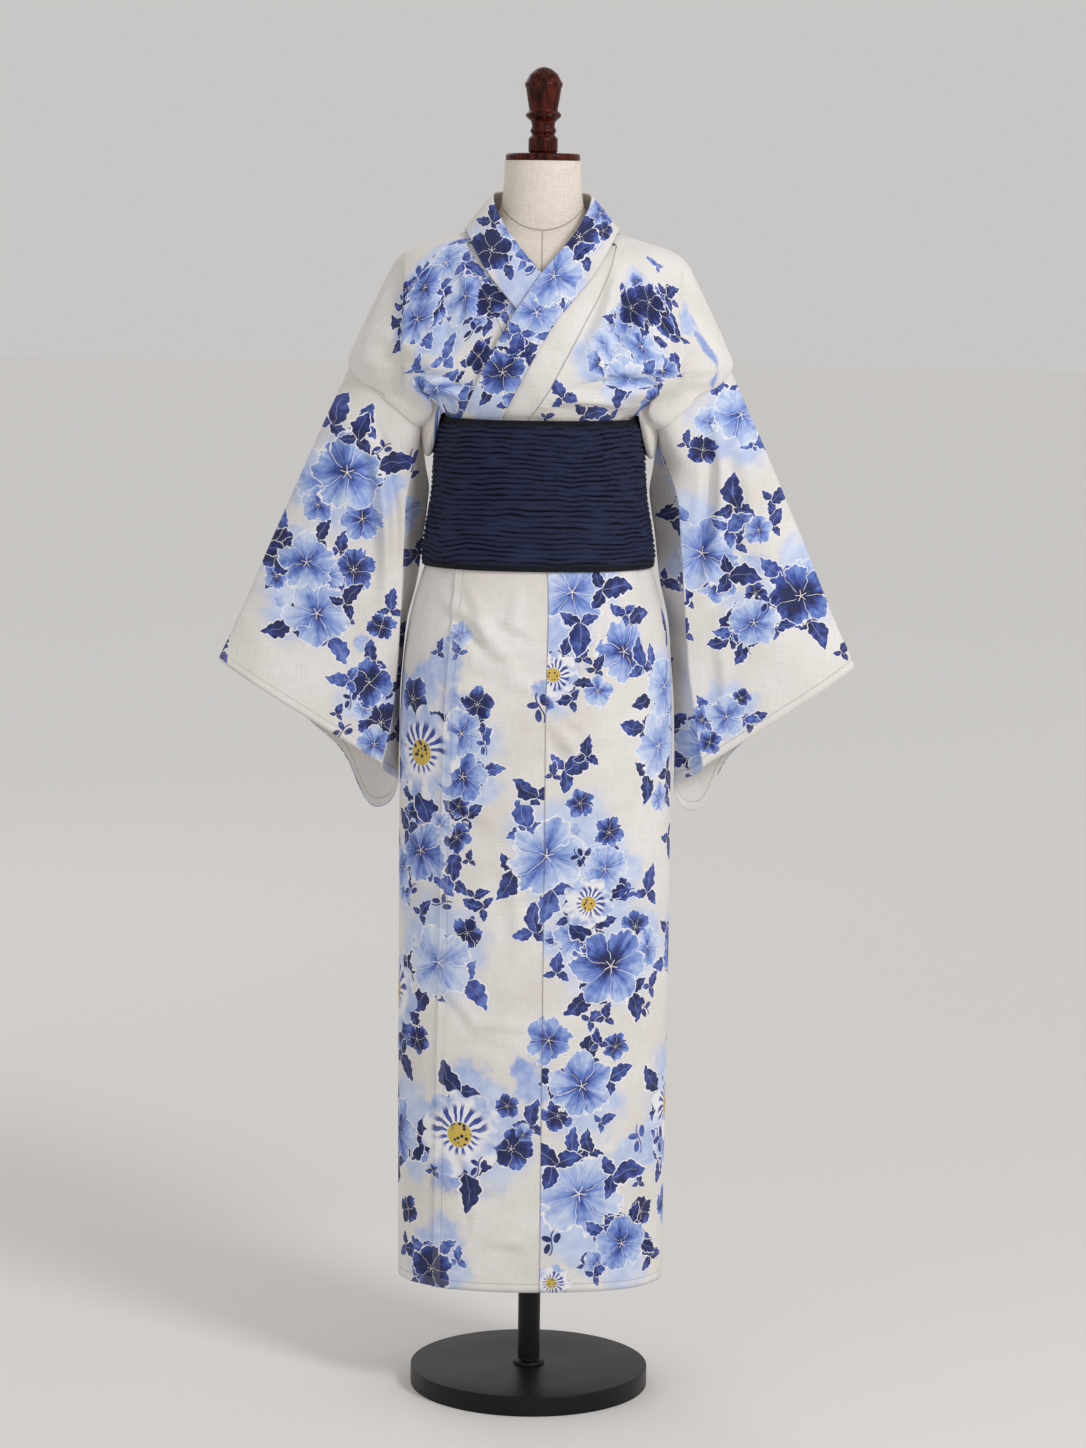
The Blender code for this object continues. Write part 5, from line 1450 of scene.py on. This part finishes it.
def body_panel(name, hand):
    """Front and back of one side in one piece over the shoulder."""
    rows = len(ROW_LEVELS)

    def place_front(share, row):
        line = "seam" if ROW_LEVELS[row] <= OKUMI_TOP_Z + 0.001 else "free"
        angle = mix(front_edge_angle(row, line), 90.0 - armhole_angle(row), share)
        rise = 0.0
        if hand > 0:
            rise = over_rise(robe_point(row, angle)[0], ROW_LEVELS[row], angle)
        x, y, z = robe_point(row, angle, rise)
        return hand * x, y, z

    def place_back(share, row):
        x, y, z = robe_point(row, mix(90.0 + armhole_angle(row), 180.0, share))
        return hand * x, y, z

    front_shares = shares_across(FRONT_COLUMNS)
    back_shares = shares_across(BACK_COLUMNS)
    given = [[place_front(s, r) for s in front_shares] + [place_back(s, r) for s in back_shares]
             for r in range(rows)]
    whole, marks = refine(given, robe_steps)
    front = whole[:, :len(front_shares)].copy()
    back = whole[:, len(front_shares):].copy()
    closed = (marks <= ARMHOLE_START - 1) | (marks >= ARMHOLE_TOP)
    front[closed, -1] = 0.5 * (front[closed, -1] + back[closed, 0])
    front = front + outward(front, hand) * robe_lift(front)[..., None]
    back = back + outward(back, hand) * robe_lift(back)[..., None]
    back[closed, 0] = front[closed, -1]
    up_front = cloth_height(front, marks)
    up_back = cloth_height(back, marks)
    front_length = running(front, 1)
    back_length = running(back, 1)
    start = np.abs(front[:, :1, 0])
    start[front[:, :1, 0] * hand < 0] *= -1
    across = hand * (start + front_length)
    across_back = hand * (BACK_MIDDLE - (back_length[:, -1:] - back_length))
    hem_front = running(front, 0) + 1e-4
    hem_back = running(back, 0) + 1e-4
    sheet = Sheet()
    letter = "L" if hand > 0 else "R"
    seam = np.minimum(front_length, 1.0)
    centre = back_length[:, -1:] - back_length
    front_facts = edge_facts(front.shape[:2], np.where(up_front < 1.0, hem_front, 1.0), seam)
    back_facts = edge_facts(back.shape[:2], np.where(up_back < 1.0, hem_back, 1.0), centre)
    sheet.add(front, np.stack([across, up_front], 2), front_facts, letter, hand < 0)
    sheet.add(back, np.stack([across_back, up_back], 2), back_facts, letter, hand < 0)
    armhole = (marks >= ARMHOLE_START - 1) & (marks <= ARMHOLE_TOP)
    ARMHOLES[hand] = (front[armhole, -1][::-1], back[armhole, 0])
    obj = make_cloth(name, sheet, printed_cotton, plain_cotton, CLOTH, "printed_cotton", name)


def okumi_panel(name, hand):
    """The half width sewn to the front edge. The left one lies on top."""
    rows = ROW_LEVELS.index(OKUMI_TOP_Z) + 1

    def place(share, row):
        angle = mix(front_edge_angle(row, "free"), front_edge_angle(row, "seam"), share)
        rise = 0.0
        if hand > 0:
            rise = over_rise(robe_point(row, angle)[0], ROW_LEVELS[row], angle)
        x, y, z = robe_point(row, angle, rise)
        return hand * x, y, z

    shares = shares_across(36 if hand > 0 else 20, (0.008, 0.022))
    points, marks = refine([[place(s, r) for s in shares] for r in range(rows)], robe_steps)
    points = points + outward(points, hand) * robe_lift(points)[..., None]
    length = running(points, 1)
    to_seam = length[:, -1:] - length
    seam_x = hand * points[:, -1:, 0]
    across = hand * (seam_x - to_seam)
    up = cloth_height(points, marks)
    hem = np.minimum(running(points, 0) + 1e-4, length + 1e-4)
    hem = np.where(up < 1.15, hem, 1.0)
    sheet = Sheet()
    sheet.add(points, np.stack([across, up], 2), edge_facts(points.shape[:2], hem, to_seam),
              "O" if hand > 0 else "R", hand < 0)
    obj = make_cloth(name, sheet, printed_cotton, plain_cotton, CLOTH, "printed_cotton", name)


def smooth_row(rows, key, place):
    """The named column part way between rows, on a curve through all of them."""
    i = min(int(place), len(rows) - 2)
    t = place - i
    before = rows[max(i - 1, 0)][key]
    a = rows[i][key]
    b = rows[i + 1][key]
    after = rows[min(i + 2, len(rows) - 1)][key]
    slope_a = 0.5 * (b - before)
    slope_b = 0.5 * (after - a)
    bend = 3 * t * t - 2 * t * t * t
    return a * (1 - bend) + b * bend + slope_a * (t**3 - 2 * t * t + t) + slope_b * (t**3 - t * t)


# Rows of the collar's table between which its two edges come to rest on the robe.
NECK_EDGE_RESTS = (6.0, 7.0)
OUTER_EDGE_RESTS = (5.0, 6.0)


def collar_point(across, place, hand):
    """A point of the collar, across from its neck edge, along from the back middle."""
    x = mix(smooth_row(COLLAR, "nx", place), smooth_row(COLLAR, "ox", place), across)
    z = mix(smooth_row(COLLAR, "nz", place), smooth_row(COLLAR, "oz", place), across)
    free_y = mix(smooth_row(COLLAR, "ny", place), smooth_row(COLLAR, "oy", place), across)
    rest = mix(soft_step(place, *NECK_EDGE_RESTS), soft_step(place, *OUTER_EDGE_RESTS), across)
    y = free_y - COLLAR_HOLLOW * math.sin(math.pi * across)
    if rest > 0.0:
        rise = COLLAR_RISE
        if hand > 0:
            rise += over_rise(x, z, angle_at(section_at(ROBE, z), x))
        y = mix(y, front_depth(x, z, rise), rest)
    return hand * x, y, z


COLLAR_ROWS = 150


def collar_band(name):
    """One folded band round the neck, its left end over the right one."""
    half = COLLAR_ROWS
    columns = shares_across(16, (0.02, 0.05))
    points = []
    for along in range(-half, half + 1):
        hand = 1 if along >= 0 else -1
        reach = len(COLLAR) - 1 if hand > 0 else UNDER_COLLAR_END
        points.append([collar_point(s, abs(along) / half * reach, hand) for s in columns])
    points = np.array(points)
    normal = outward(points, -1)
    x = points[..., 0]
    z = points[..., 2]
    crown = np.array([math.sin(math.pi * s) ** 0.5 for s in columns])
    lift = 0.0008 * crown[None, :] + soft_waves(x * 2, z * 2, 0.0004)
    points = points + normal * lift[..., None]
    across = running(points, 1)
    seam = across[:, -1:] - across
    facts = edge_facts(points.shape[:2], None, seam)
    flat = np.stack([points[..., 0], points[..., 2]], 2)
    sheet = Sheet()
    sheet.add(points[:half + 1], flat[:half + 1], facts[:half + 1], "D", True)
    sheet.add(points[half:], flat[half:], facts[half:], "C", True)
    obj = make_cloth(name, sheet, printed_cotton, plain_cotton, BAND, "printed_cotton", name)


def along_line(points, share):
    """The point at a share of a broken line's length."""
    lengths = [math.dist(a, b) for a, b in zip(points, points[1:])]
    left = share * sum(lengths)
    for a, b, length in zip(points, points[1:], lengths):
        if left <= length:
            return [mix(p, q, left / length) for p, q in zip(a, b)]
        left -= length
    return list(points[-1])


FRONT_SHARE = 11
TUCK_SHARE = 5
ROLL_SHARE = 5
BACK_SHARE = 9
SLEEVE_COLUMNS = FRONT_SHARE + TUCK_SHARE + ROLL_SHARE + BACK_SHARE
UNDERARM_OUT = 0.006
UNDERARM_DOWN = 0.010
TUCKED_IN = 0.0022
TUCKED_UNDER = 0.0009
TUCKED_UP = 0.0012
SLEEVE_SETTLES = 0.24
SLEEVE_SWELL = 0.0011
SLEEVE_FINER = 6
SLEEVE_ROWS = 84
EASING_ROUNDS = 26


def cuff_back_z(x):
    """Lower edge of the back layer at the cuff."""
    return read(CUFF_BACK, "z", x, by="x")


def sleeve_start(column, hand):
    """The sleeve's edge, tucked just inside the body's edge at the armhole."""
    front, back = ARMHOLES[hand]
    front = [(hand * x, y, z) for x, y, z in front]
    back = [(hand * x, y, z) for x, y, z in back]
    if column <= FRONT_SHARE:
        x, y, z = along_line(front[:-1], column / FRONT_SHARE)
    elif column < FRONT_SHARE + TUCK_SHARE + ROLL_SHARE:
        share = (column - FRONT_SHARE) / (TUCK_SHARE + ROLL_SHARE)
        low = (front[-1][0] + UNDERARM_OUT, front[-1][1], front[-1][2] - UNDERARM_DOWN)
        x, y, z = along_line([front[-2], low, back[1]], share)
    else:
        share = (column - FRONT_SHARE - TUCK_SHARE - ROLL_SHARE) / BACK_SHARE
        x, y, z = along_line(back[1:], share)
    return [x - TUCKED_IN, y - math.copysign(TUCKED_UNDER, y), z + TUCKED_UP]


def sleeve_rest(column, along, hand):
    """Where the hanging sleeve's own form puts a point, away from the armhole."""
    out_x = mix(SHOULDER_X, CUFF_X, along)
    out_z = mix(SHOULDER_Z, CUFF_Z, along)
    in_z = read(SLEEVE_INNER, "z", along, by="along")
    fold_x = read(SLEEVE_INNER, "left_fold" if hand > 0 else "right_fold", along, by="along")
    roll_x = read(SLEEVE_INNER, "roll", along, by="along")
    half = mix(SLEEVE_HALF_DEPTH, CUFF_HALF_DEPTH, along)
    cuff = soft_step(along, 0.55, 1.0)
    if column <= FRONT_SHARE:
        share = column / FRONT_SHARE
        x = mix(out_x, fold_x, share)
        z = mix(out_z, in_z, share)
        return [x, -half * math.sin(math.pi / 2 * min(share * 3.0, 1.0)), z]
    if column <= FRONT_SHARE + TUCK_SHARE:
        share = (column - FRONT_SHARE) / TUCK_SHARE
        tuck = math.sin(math.pi * share)
        x = mix(fold_x, roll_x, share) + PLEAT_DEPTH * tuck * (1 - share)
        y = mix(-half, ROLL_Y, soft_step(share, 0.0, 1.0))
        z = mix(in_z, mix(in_z, cuff_back_z(roll_x), cuff), share)
        return [x, y, z]
    if column <= FRONT_SHARE + TUCK_SHARE + ROLL_SHARE:
        share = (column - FRONT_SHARE - TUCK_SHARE) / ROLL_SHARE
        x = roll_x + ROLL_WIDTH * share**2
        y = mix(ROLL_Y, half, math.sin(math.pi / 2 * share))
        z = mix(in_z + 0.10 * (x - roll_x), cuff_back_z(x), cuff)
        return [x, y, z]
    share = (column - FRONT_SHARE - TUCK_SHARE - ROLL_SHARE) / BACK_SHARE
    start_x = roll_x + ROLL_WIDTH
    x = mix(start_x, out_x, share**1.5)
    level = mix(in_z + 0.0034, out_z, share)
    z = mix(level, mix(cuff_back_z(x), out_z, share**6), cuff)
    return [x, half * math.sin(math.pi / 2 * min((1 - share) * 3.0, 1.0)), z]


def sleeve(name, hand):
    """A wide tube of cloth with a folded top, a deep pleat by the body and a round corner."""
    finer = SLEEVE_FINER
    rows = SLEEVE_ROWS
    columns = [c / finer for c in range(SLEEVE_COLUMNS * finer)]
    points = []
    starts = [sleeve_start(c, hand) for c in columns]
    follows = [sleeve_rest(c, 0.0, hand) for c in columns]
    for step in range(rows + 1):
        share = step / rows
        near_armhole = 1.0 - soft_step(share, 0.0, SLEEVE_SETTLES)
        row = []
        for column, start, follow in zip(columns, starts, follows):
            rest = sleeve_rest(column, share, hand)
            row.append([r + (s - f) * near_armhole for r, s, f in zip(rest, start, follow)])
        points.append(row)
    points = np.array(points)
    held = np.ones(len(columns))
    held[0] = 0.15
    held[FRONT_SHARE * finer] = 0.10
    for _ in range(EASING_ROUNDS):
        even = 0.5 * (np.roll(points, 1, axis=1) + np.roll(points, -1, axis=1))
        ease = 0.5 * held[None, :, None] * np.ones((len(points), 1, 1))
        ease[0] = 0.0
        points = points + (even - points) * ease
    points[..., 0] *= hand
    closed = np.concatenate([points, points[:, :1]], axis=1)
    normal = outward(closed, hand)
    x = closed[..., 0]
    z = closed[..., 2]
    front = soft_steps(-closed[..., 1], 0.005, 0.022)
    down = np.linspace(0.0, 1.0, rows + 1)[:, None]
    lift = soft_waves(x, z, SLEEVE_SWELL) * soft_steps(down, 0.05, 0.3)
    for fold in SLEEVE_FOLDS:
        if fold["hand"] == hand:
            lift = lift + fold_height(fold, x, z) * front
    rim = np.concatenate([held, held[:1]])[None, :]
    lift = lift * np.clip(rim * 1.5, 0.0, 1.0) * soft_steps(down, 0.0, 0.10)
    closed = closed + normal * lift[..., None]
    closed[:, -1] = closed[:, 0]
    hem = running(closed, 0)
    hem = hem[-1:] - hem + 1e-4
    top_seam = running(closed, 0)
    print_at = np.stack([closed[..., 0], closed[..., 2]], 2)
    split = FRONT_SHARE * finer
    sheet = Sheet()
    letter = "S" if hand < 0 else "T"
    facts = edge_facts(closed.shape[:2], hem, top_seam)
    for part, mark in ((slice(0, split + 1), letter), (slice(split, None), "K")):
        sheet.add(closed[:, part], print_at[:, part], facts[:, part], mark, hand < 0)
    obj = make_cloth(name, sheet, printed_cotton, plain_cotton, CLOTH, "printed_cotton", name)


OBI_CREASES = 29
OBI_COLUMNS = 260
OBI_ROWS = 240
OBI_INNER_ROWS = 6
OBI_RELIEF = 0.0036
OBI_EDGE_ROLL = 0.0009
OBI_END_COLUMNS = 60
OBI_END_ROWS = 90
OBI_END_HALF_ANGLE = 24.0
OBI_END_RELIEF = 0.0012


def crinkle(angle, z):
    """Height of the crinkled crepe: uneven ribs that wander, part and run together."""
    share = (z - OBI_BOTTOM_Z) / (OBI_TOP_Z - OBI_BOTTOM_Z)
    turn = math.radians(angle)
    x = math.cos(turn)
    y = math.sin(turn)
    wander = noise.noise((1.8 * x, 1.8 * y, 3.0 * share)) * 0.7
    wander += noise.noise((6.0 * x, 6.0 * y, 9.0 * share)) * 0.35
    groove = 0.5 - 0.5 * math.cos(2 * math.pi * (OBI_CREASES * share + wander))
    rib = 1.0 - groove**3
    strength = 0.70 + 0.75 * noise.noise((4.0 * x, 4.0 * y, 22.0 * share))
    fine = noise.noise((9.0 * x, 9.0 * y, 95.0 * share))
    edge = min(1.0, 12.0 * share, 12.0 * (1.0 - share))
    return edge * (1.0 - (1.0 - rib) * max(0.30, min(1.0, strength))) + 0.30 * edge * fine


def obi_wrap(name):
    """The crinkled band round the waist."""
    height = OBI_TOP_Z - OBI_BOTTOM_Z
    outer = np.zeros((OBI_ROWS + 1, OBI_COLUMNS + 1, 3))
    ridge = np.zeros((OBI_ROWS + 1, OBI_COLUMNS + 1))
    for r in range(OBI_ROWS + 1):
        z = OBI_BOTTOM_Z + height * r / OBI_ROWS
        *sides, power = section_at(OBI, z)
        share = r / OBI_ROWS
        edge_roll = OBI_EDGE_ROLL * min(1.0, 14.0 * share, 14.0 * (1.0 - share)) ** 0.5
        for c in range(OBI_COLUMNS + 1):
            angle = 360.0 * (c % OBI_COLUMNS) / OBI_COLUMNS
            ridge[r, c] = crinkle(angle, z)
            out = OBI_WALL - 0.0010 + edge_roll + OBI_RELIEF * ridge[r, c]
            outer[r, c] = (*on_section([side + out for side in sides] + [power], angle), z)
    inner = np.zeros((OBI_INNER_ROWS + 1, OBI_COLUMNS + 1, 3))
    for r in range(OBI_INNER_ROWS + 1):
        z = OBI_TOP_Z - height * r / OBI_INNER_ROWS
        section = section_at(OBI, z)
        for c in range(OBI_COLUMNS + 1):
            inner[r, c] = (*on_section(section, 360.0 * (c % OBI_COLUMNS) / OBI_COLUMNS), z)
    sheet = Sheet()
    wall = np.concatenate([outer[-1:], inner, outer[:1]])
    for points, heights in ((outer, ridge), (wall, None)):
        sheet.add(points, np.stack([running(points, 1), running(points, 0)], 2),
                  edge_facts(points.shape[:2], crinkle_height=heights), "K")
    obj = make_cloth(name, sheet, navy_crepe, navy_crepe, 0.0, "navy_crepe", name)


def obi_end(name):
    """The wrap's own outer end, which lies on it at the back."""
    points = np.zeros((OBI_END_ROWS + 1, OBI_END_COLUMNS + 1, 3))
    ridge = np.zeros((OBI_END_ROWS + 1, OBI_END_COLUMNS + 1))
    for r in range(OBI_END_ROWS + 1):
        z = mix(OBI_BOTTOM_Z + 0.005, OBI_TOP_Z - 0.030, r / OBI_END_ROWS)
        for c in range(OBI_END_COLUMNS + 1):
            angle = 180.0 + mix(-OBI_END_HALF_ANGLE, OBI_END_HALF_ANGLE, c / OBI_END_COLUMNS)
            ridge[r, c] = crinkle(angle + 31.0, z)
            out = OBI_WALL + 0.0020 + 0.0016 + OBI_END_RELIEF * ridge[r, c]
            points[r, c] = (*on_section(section_at(OBI, z, out), angle), z)
    sheet = Sheet()
    sheet.add(points, np.stack([running(points, 1), running(points, 0)], 2),
              edge_facts(points.shape[:2], crinkle_height=ridge), "K")
    obj = make_cloth(name, sheet, navy_crepe, navy_crepe, CLOTH, "navy_crepe", name)


def pulled_up(name, rings, sides, sharp, material, node):
    """A disc pulled up ring by ring to half width, half depth, middle and level."""
    wide, deep, middle, z = rings[0]
    bpy.ops.object.select_all(action="DESELECT")
    bpy.ops.mesh.primitive_circle_add(vertices=sides, radius=wide, fill_type="NGON",
                                      location=(0.0, middle, z))
    obj = bpy.context.object
    obj.name = name
    bpy.ops.object.mode_set(mode="EDIT")
    bpy.ops.mesh.select_all(action="SELECT")
    bpy.ops.transform.resize(value=(1.0, deep / wide, 1.0), center_override=(0.0, middle, z))
    for low, high in zip(rings, rings[1:]):
        bpy.ops.mesh.extrude_region_move(
            TRANSFORM_OT_translate={"value": (0.0, high[2] - low[2], high[3] - low[3])})
        bpy.ops.transform.resize(value=(high[0] / low[0], high[1] / low[1], 1.0),
                                 center_override=(0.0, high[2], high[3]))
    bpy.ops.mesh.select_all(action="SELECT")
    bpy.ops.mesh.normals_make_consistent(inside=False)
    bpy.ops.object.mode_set(mode="OBJECT")
    bpy.ops.object.transform_apply(location=True, rotation=True, scale=True)
    obj.data.name = obj.name
    obj.data.materials.append(material)
    bpy.ops.object.shade_smooth_by_angle(angle=math.radians(sharp))
    obj.select_set(False)
    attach(obj, "root")
    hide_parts(node)


def dress_form(name):
    """The linen covered torso and neck."""
    levels = []
    for low, high in zip(FORM, FORM[1:]):
        count = max(1, round((high["z"] - low["z"]) / FORM_RING))
        levels.extend(mix(low["z"], high["z"], k / count) for k in range(count))
    levels.append(FORM[-1]["z"])
    rings = []
    for z in levels:
        side, front, back, _ = section_at(FORM, z)
        rings.append((side, 0.5 * (front + back), 0.5 * (back - front), z))
    pulled_up("linen_" + name, rings, 120, 40.0, ivory_linen, name)


def turned_piece(name, profile, material, sides):
    """A round piece, its profile given as radius and level from the bottom up."""
    rings = [(radius, radius, 0.0, z) for radius, z in profile]
    pulled_up("turned_" + name, rings, sides, 42.0, material, name)


def rounded(points, reach, count=4):
    """A profile whose inner corners are rounded off."""
    made = [points[0]]
    for before, corner, after in zip(points, points[1:], points[2:]):
        cut = []
        for other in (before, after):
            length = math.dist(corner, other)
            t = min(0.45, reach / length)
            cut.append((mix(corner[0], other[0], t), mix(corner[1], other[1], t)))
        for k in range(count + 1):
            t = k / count
            first = [mix(a, b, t) for a, b in zip(cut[0], corner)]
            second = [mix(a, b, t) for a, b in zip(corner, cut[1])]
            made.append(tuple(mix(a, b, t) for a, b in zip(first, second)))
    made.append(points[-1])
    return made


FINIAL = [
    (0.0165, 1.5480), (0.0179, 1.5494), (0.0179, 1.5650), (0.0165, 1.5668), (0.0134, 1.5700),
    (0.0155, 1.5725), (0.0160, 1.5745), (0.0153, 1.5765), (0.0136, 1.5800), (0.0150, 1.5860),
    (0.0205, 1.5905), (0.0222, 1.5935), (0.0205, 1.5960), (0.0172, 1.5990), (0.0192, 1.6100),
    (0.0216, 1.6260), (0.0231, 1.6290), (0.0231, 1.6320), (0.0216, 1.6340), (0.0170, 1.6430),
    (0.0095, 1.6490), (0.0030, 1.6512), (0.0004, 1.6515),
]

BASE_PLATE = [(0.148, 0.0), (0.150, 0.0), (0.150, 0.025), (0.100, 0.025), (0.001, 0.025)]
POLE = [
    (0.0190, 0.0253), (0.0200, 0.0253), (0.0190, 0.0285), (0.0140, 0.0313), (0.0140, 0.7990),
    (0.0010, 0.7997),
]
NECK_CAP = [
    (0.0440, 1.5388), (0.0455, 1.5388), (0.0455, 1.5448), (0.0435, 1.5470), (0.0300, 1.5477),
    (0.0010, 1.5477),
]

# Motifs strewn in mm over the back, the sides, and the cloth inside and behind the sleeves.
STREWN = table("cloth across up count seed", [
    ("L", (460, 705), (150, 1040), 44, 4),
    ("R", (-705, -460), (150, 1040), 44, 9),
    ("R", (-215, -160), (160, 1000), 12, 5),
    ("L", (180, 225), (160, 1000), 12, 6),
    ("L", (460, 705), (1240, 1490), 18, 12),
    ("R", (-705, -460), (1240, 1490), 18, 17),
    ("K", (-400, -150), (740, 1270), 46, 21),
    ("K", (150, 400), (740, 1270), 46, 22),
])
for area in STREWN:
    scatter(**area)
fill_out()
share_passes()

HANDS = (("_right", -1), ("_left", 1))
for side, hand in HANDS:
    body_panel("body" + side, hand)
for side, hand in HANDS:
    okumi_panel("okumi" + side, hand)
collar_band("collar")
for side, hand in HANDS:
    sleeve("sleeve" + side, hand)
obi_wrap("obi")
obi_end("obi_end")
dress_form("form_body")
turned_piece("base_plate", rounded(BASE_PLATE, 0.0018), black_steel, 128)
turned_piece("pole", rounded(POLE, 0.0007), black_steel, 48)
turned_piece("neck_cap", rounded(NECK_CAP, 0.0012), mahogany, 96)
turned_piece("finial", rounded(FINIAL, 0.0016, 3), mahogany, 64)

CAMERA_PLACE = (0.0085, -4.9363, 1.5026)
CAMERA_PITCH = math.radians(90.0 - 7.6)
CAMERA_ROLL = math.radians(0.70)
CAMERA_ANGLE = 2 * math.atan(724 / 4000)
camera_data = bpy.data.cameras.new("camera")
camera_data.sensor_fit = "VERTICAL"
camera_data.angle = CAMERA_ANGLE
camera = bpy.data.objects.new("camera", camera_data)
camera_turn = Matrix.Rotation(CAMERA_PITCH, 4, "X") @ Matrix.Rotation(CAMERA_ROLL, 4, "Z")
camera.matrix_world = Matrix.Translation(CAMERA_PLACE) @ camera_turn
bpy.context.scene.collection.objects.link(camera)
bpy.context.scene.camera = camera

bpy.ops.object.select_all(action="DESELECT")
bpy.ops.mesh.primitive_plane_add(size=60.0, location=(0.0, 0.0, -0.0002))
floor = bpy.context.object
floor.name = "floor"
floor_finish, floor_hand, floor_shader = new_finish("pale_floor")
floor_x, floor_y, _ = floor_hand.parts(floor_hand.node("ShaderNodeTexCoord").outputs["Object"])
floor_reach, _ = round_frame(floor_hand, floor_x, floor_y)
# The floor is painted lighter with distance, painted light that blends it into the backdrop at the
# horizon.
floor_painted_light_far = floor_hand.ramp(floor_reach, 0.8, 7.0)
floor_tone = floor_hand.mix(floor_painted_light_far, dye(230, 227, 224), dye(253, 252, 251))
floor_hand.feed(floor_shader.inputs["Base Color"], floor_tone)
settle(floor_shader, {"Roughness": 0.7})
floor.data.materials.append(floor_finish)

world = bpy.data.worlds.new("studio")
world.use_nodes = True
settle(world.node_tree.nodes["Background"], {"Color": dye(241, 239, 237), "Strength": 0.66})
bpy.context.scene.world = world
bpy.context.scene.view_settings.view_transform = "Standard"


def soft_light(name, place, aim, size, power):
    """A round lamp that faces a point on the robe."""
    data = bpy.data.lights.new(name, "AREA")
    data.shape = "DISK"
    data.size = size
    data.energy = power
    light = bpy.data.objects.new(name, data)
    back = Vector(place) - Vector(aim)
    light.rotation_euler = back.to_track_quat("Z", "Y").to_euler()
    light.location = place
    bpy.context.scene.collection.objects.link(light)


soft_light("key", (2.7, -3.0, 3.5), (0.0, 0.0, 0.9), 1.3, 100.0)
soft_light("fill", (-3.0, -3.4, 1.8), (0.0, 0.0, 0.8), 2.6, 8.0)
soft_light("behind", (-1.6, 3.4, 3.2), (0.0, 0.0, 0.9), 2.0, 16.0)
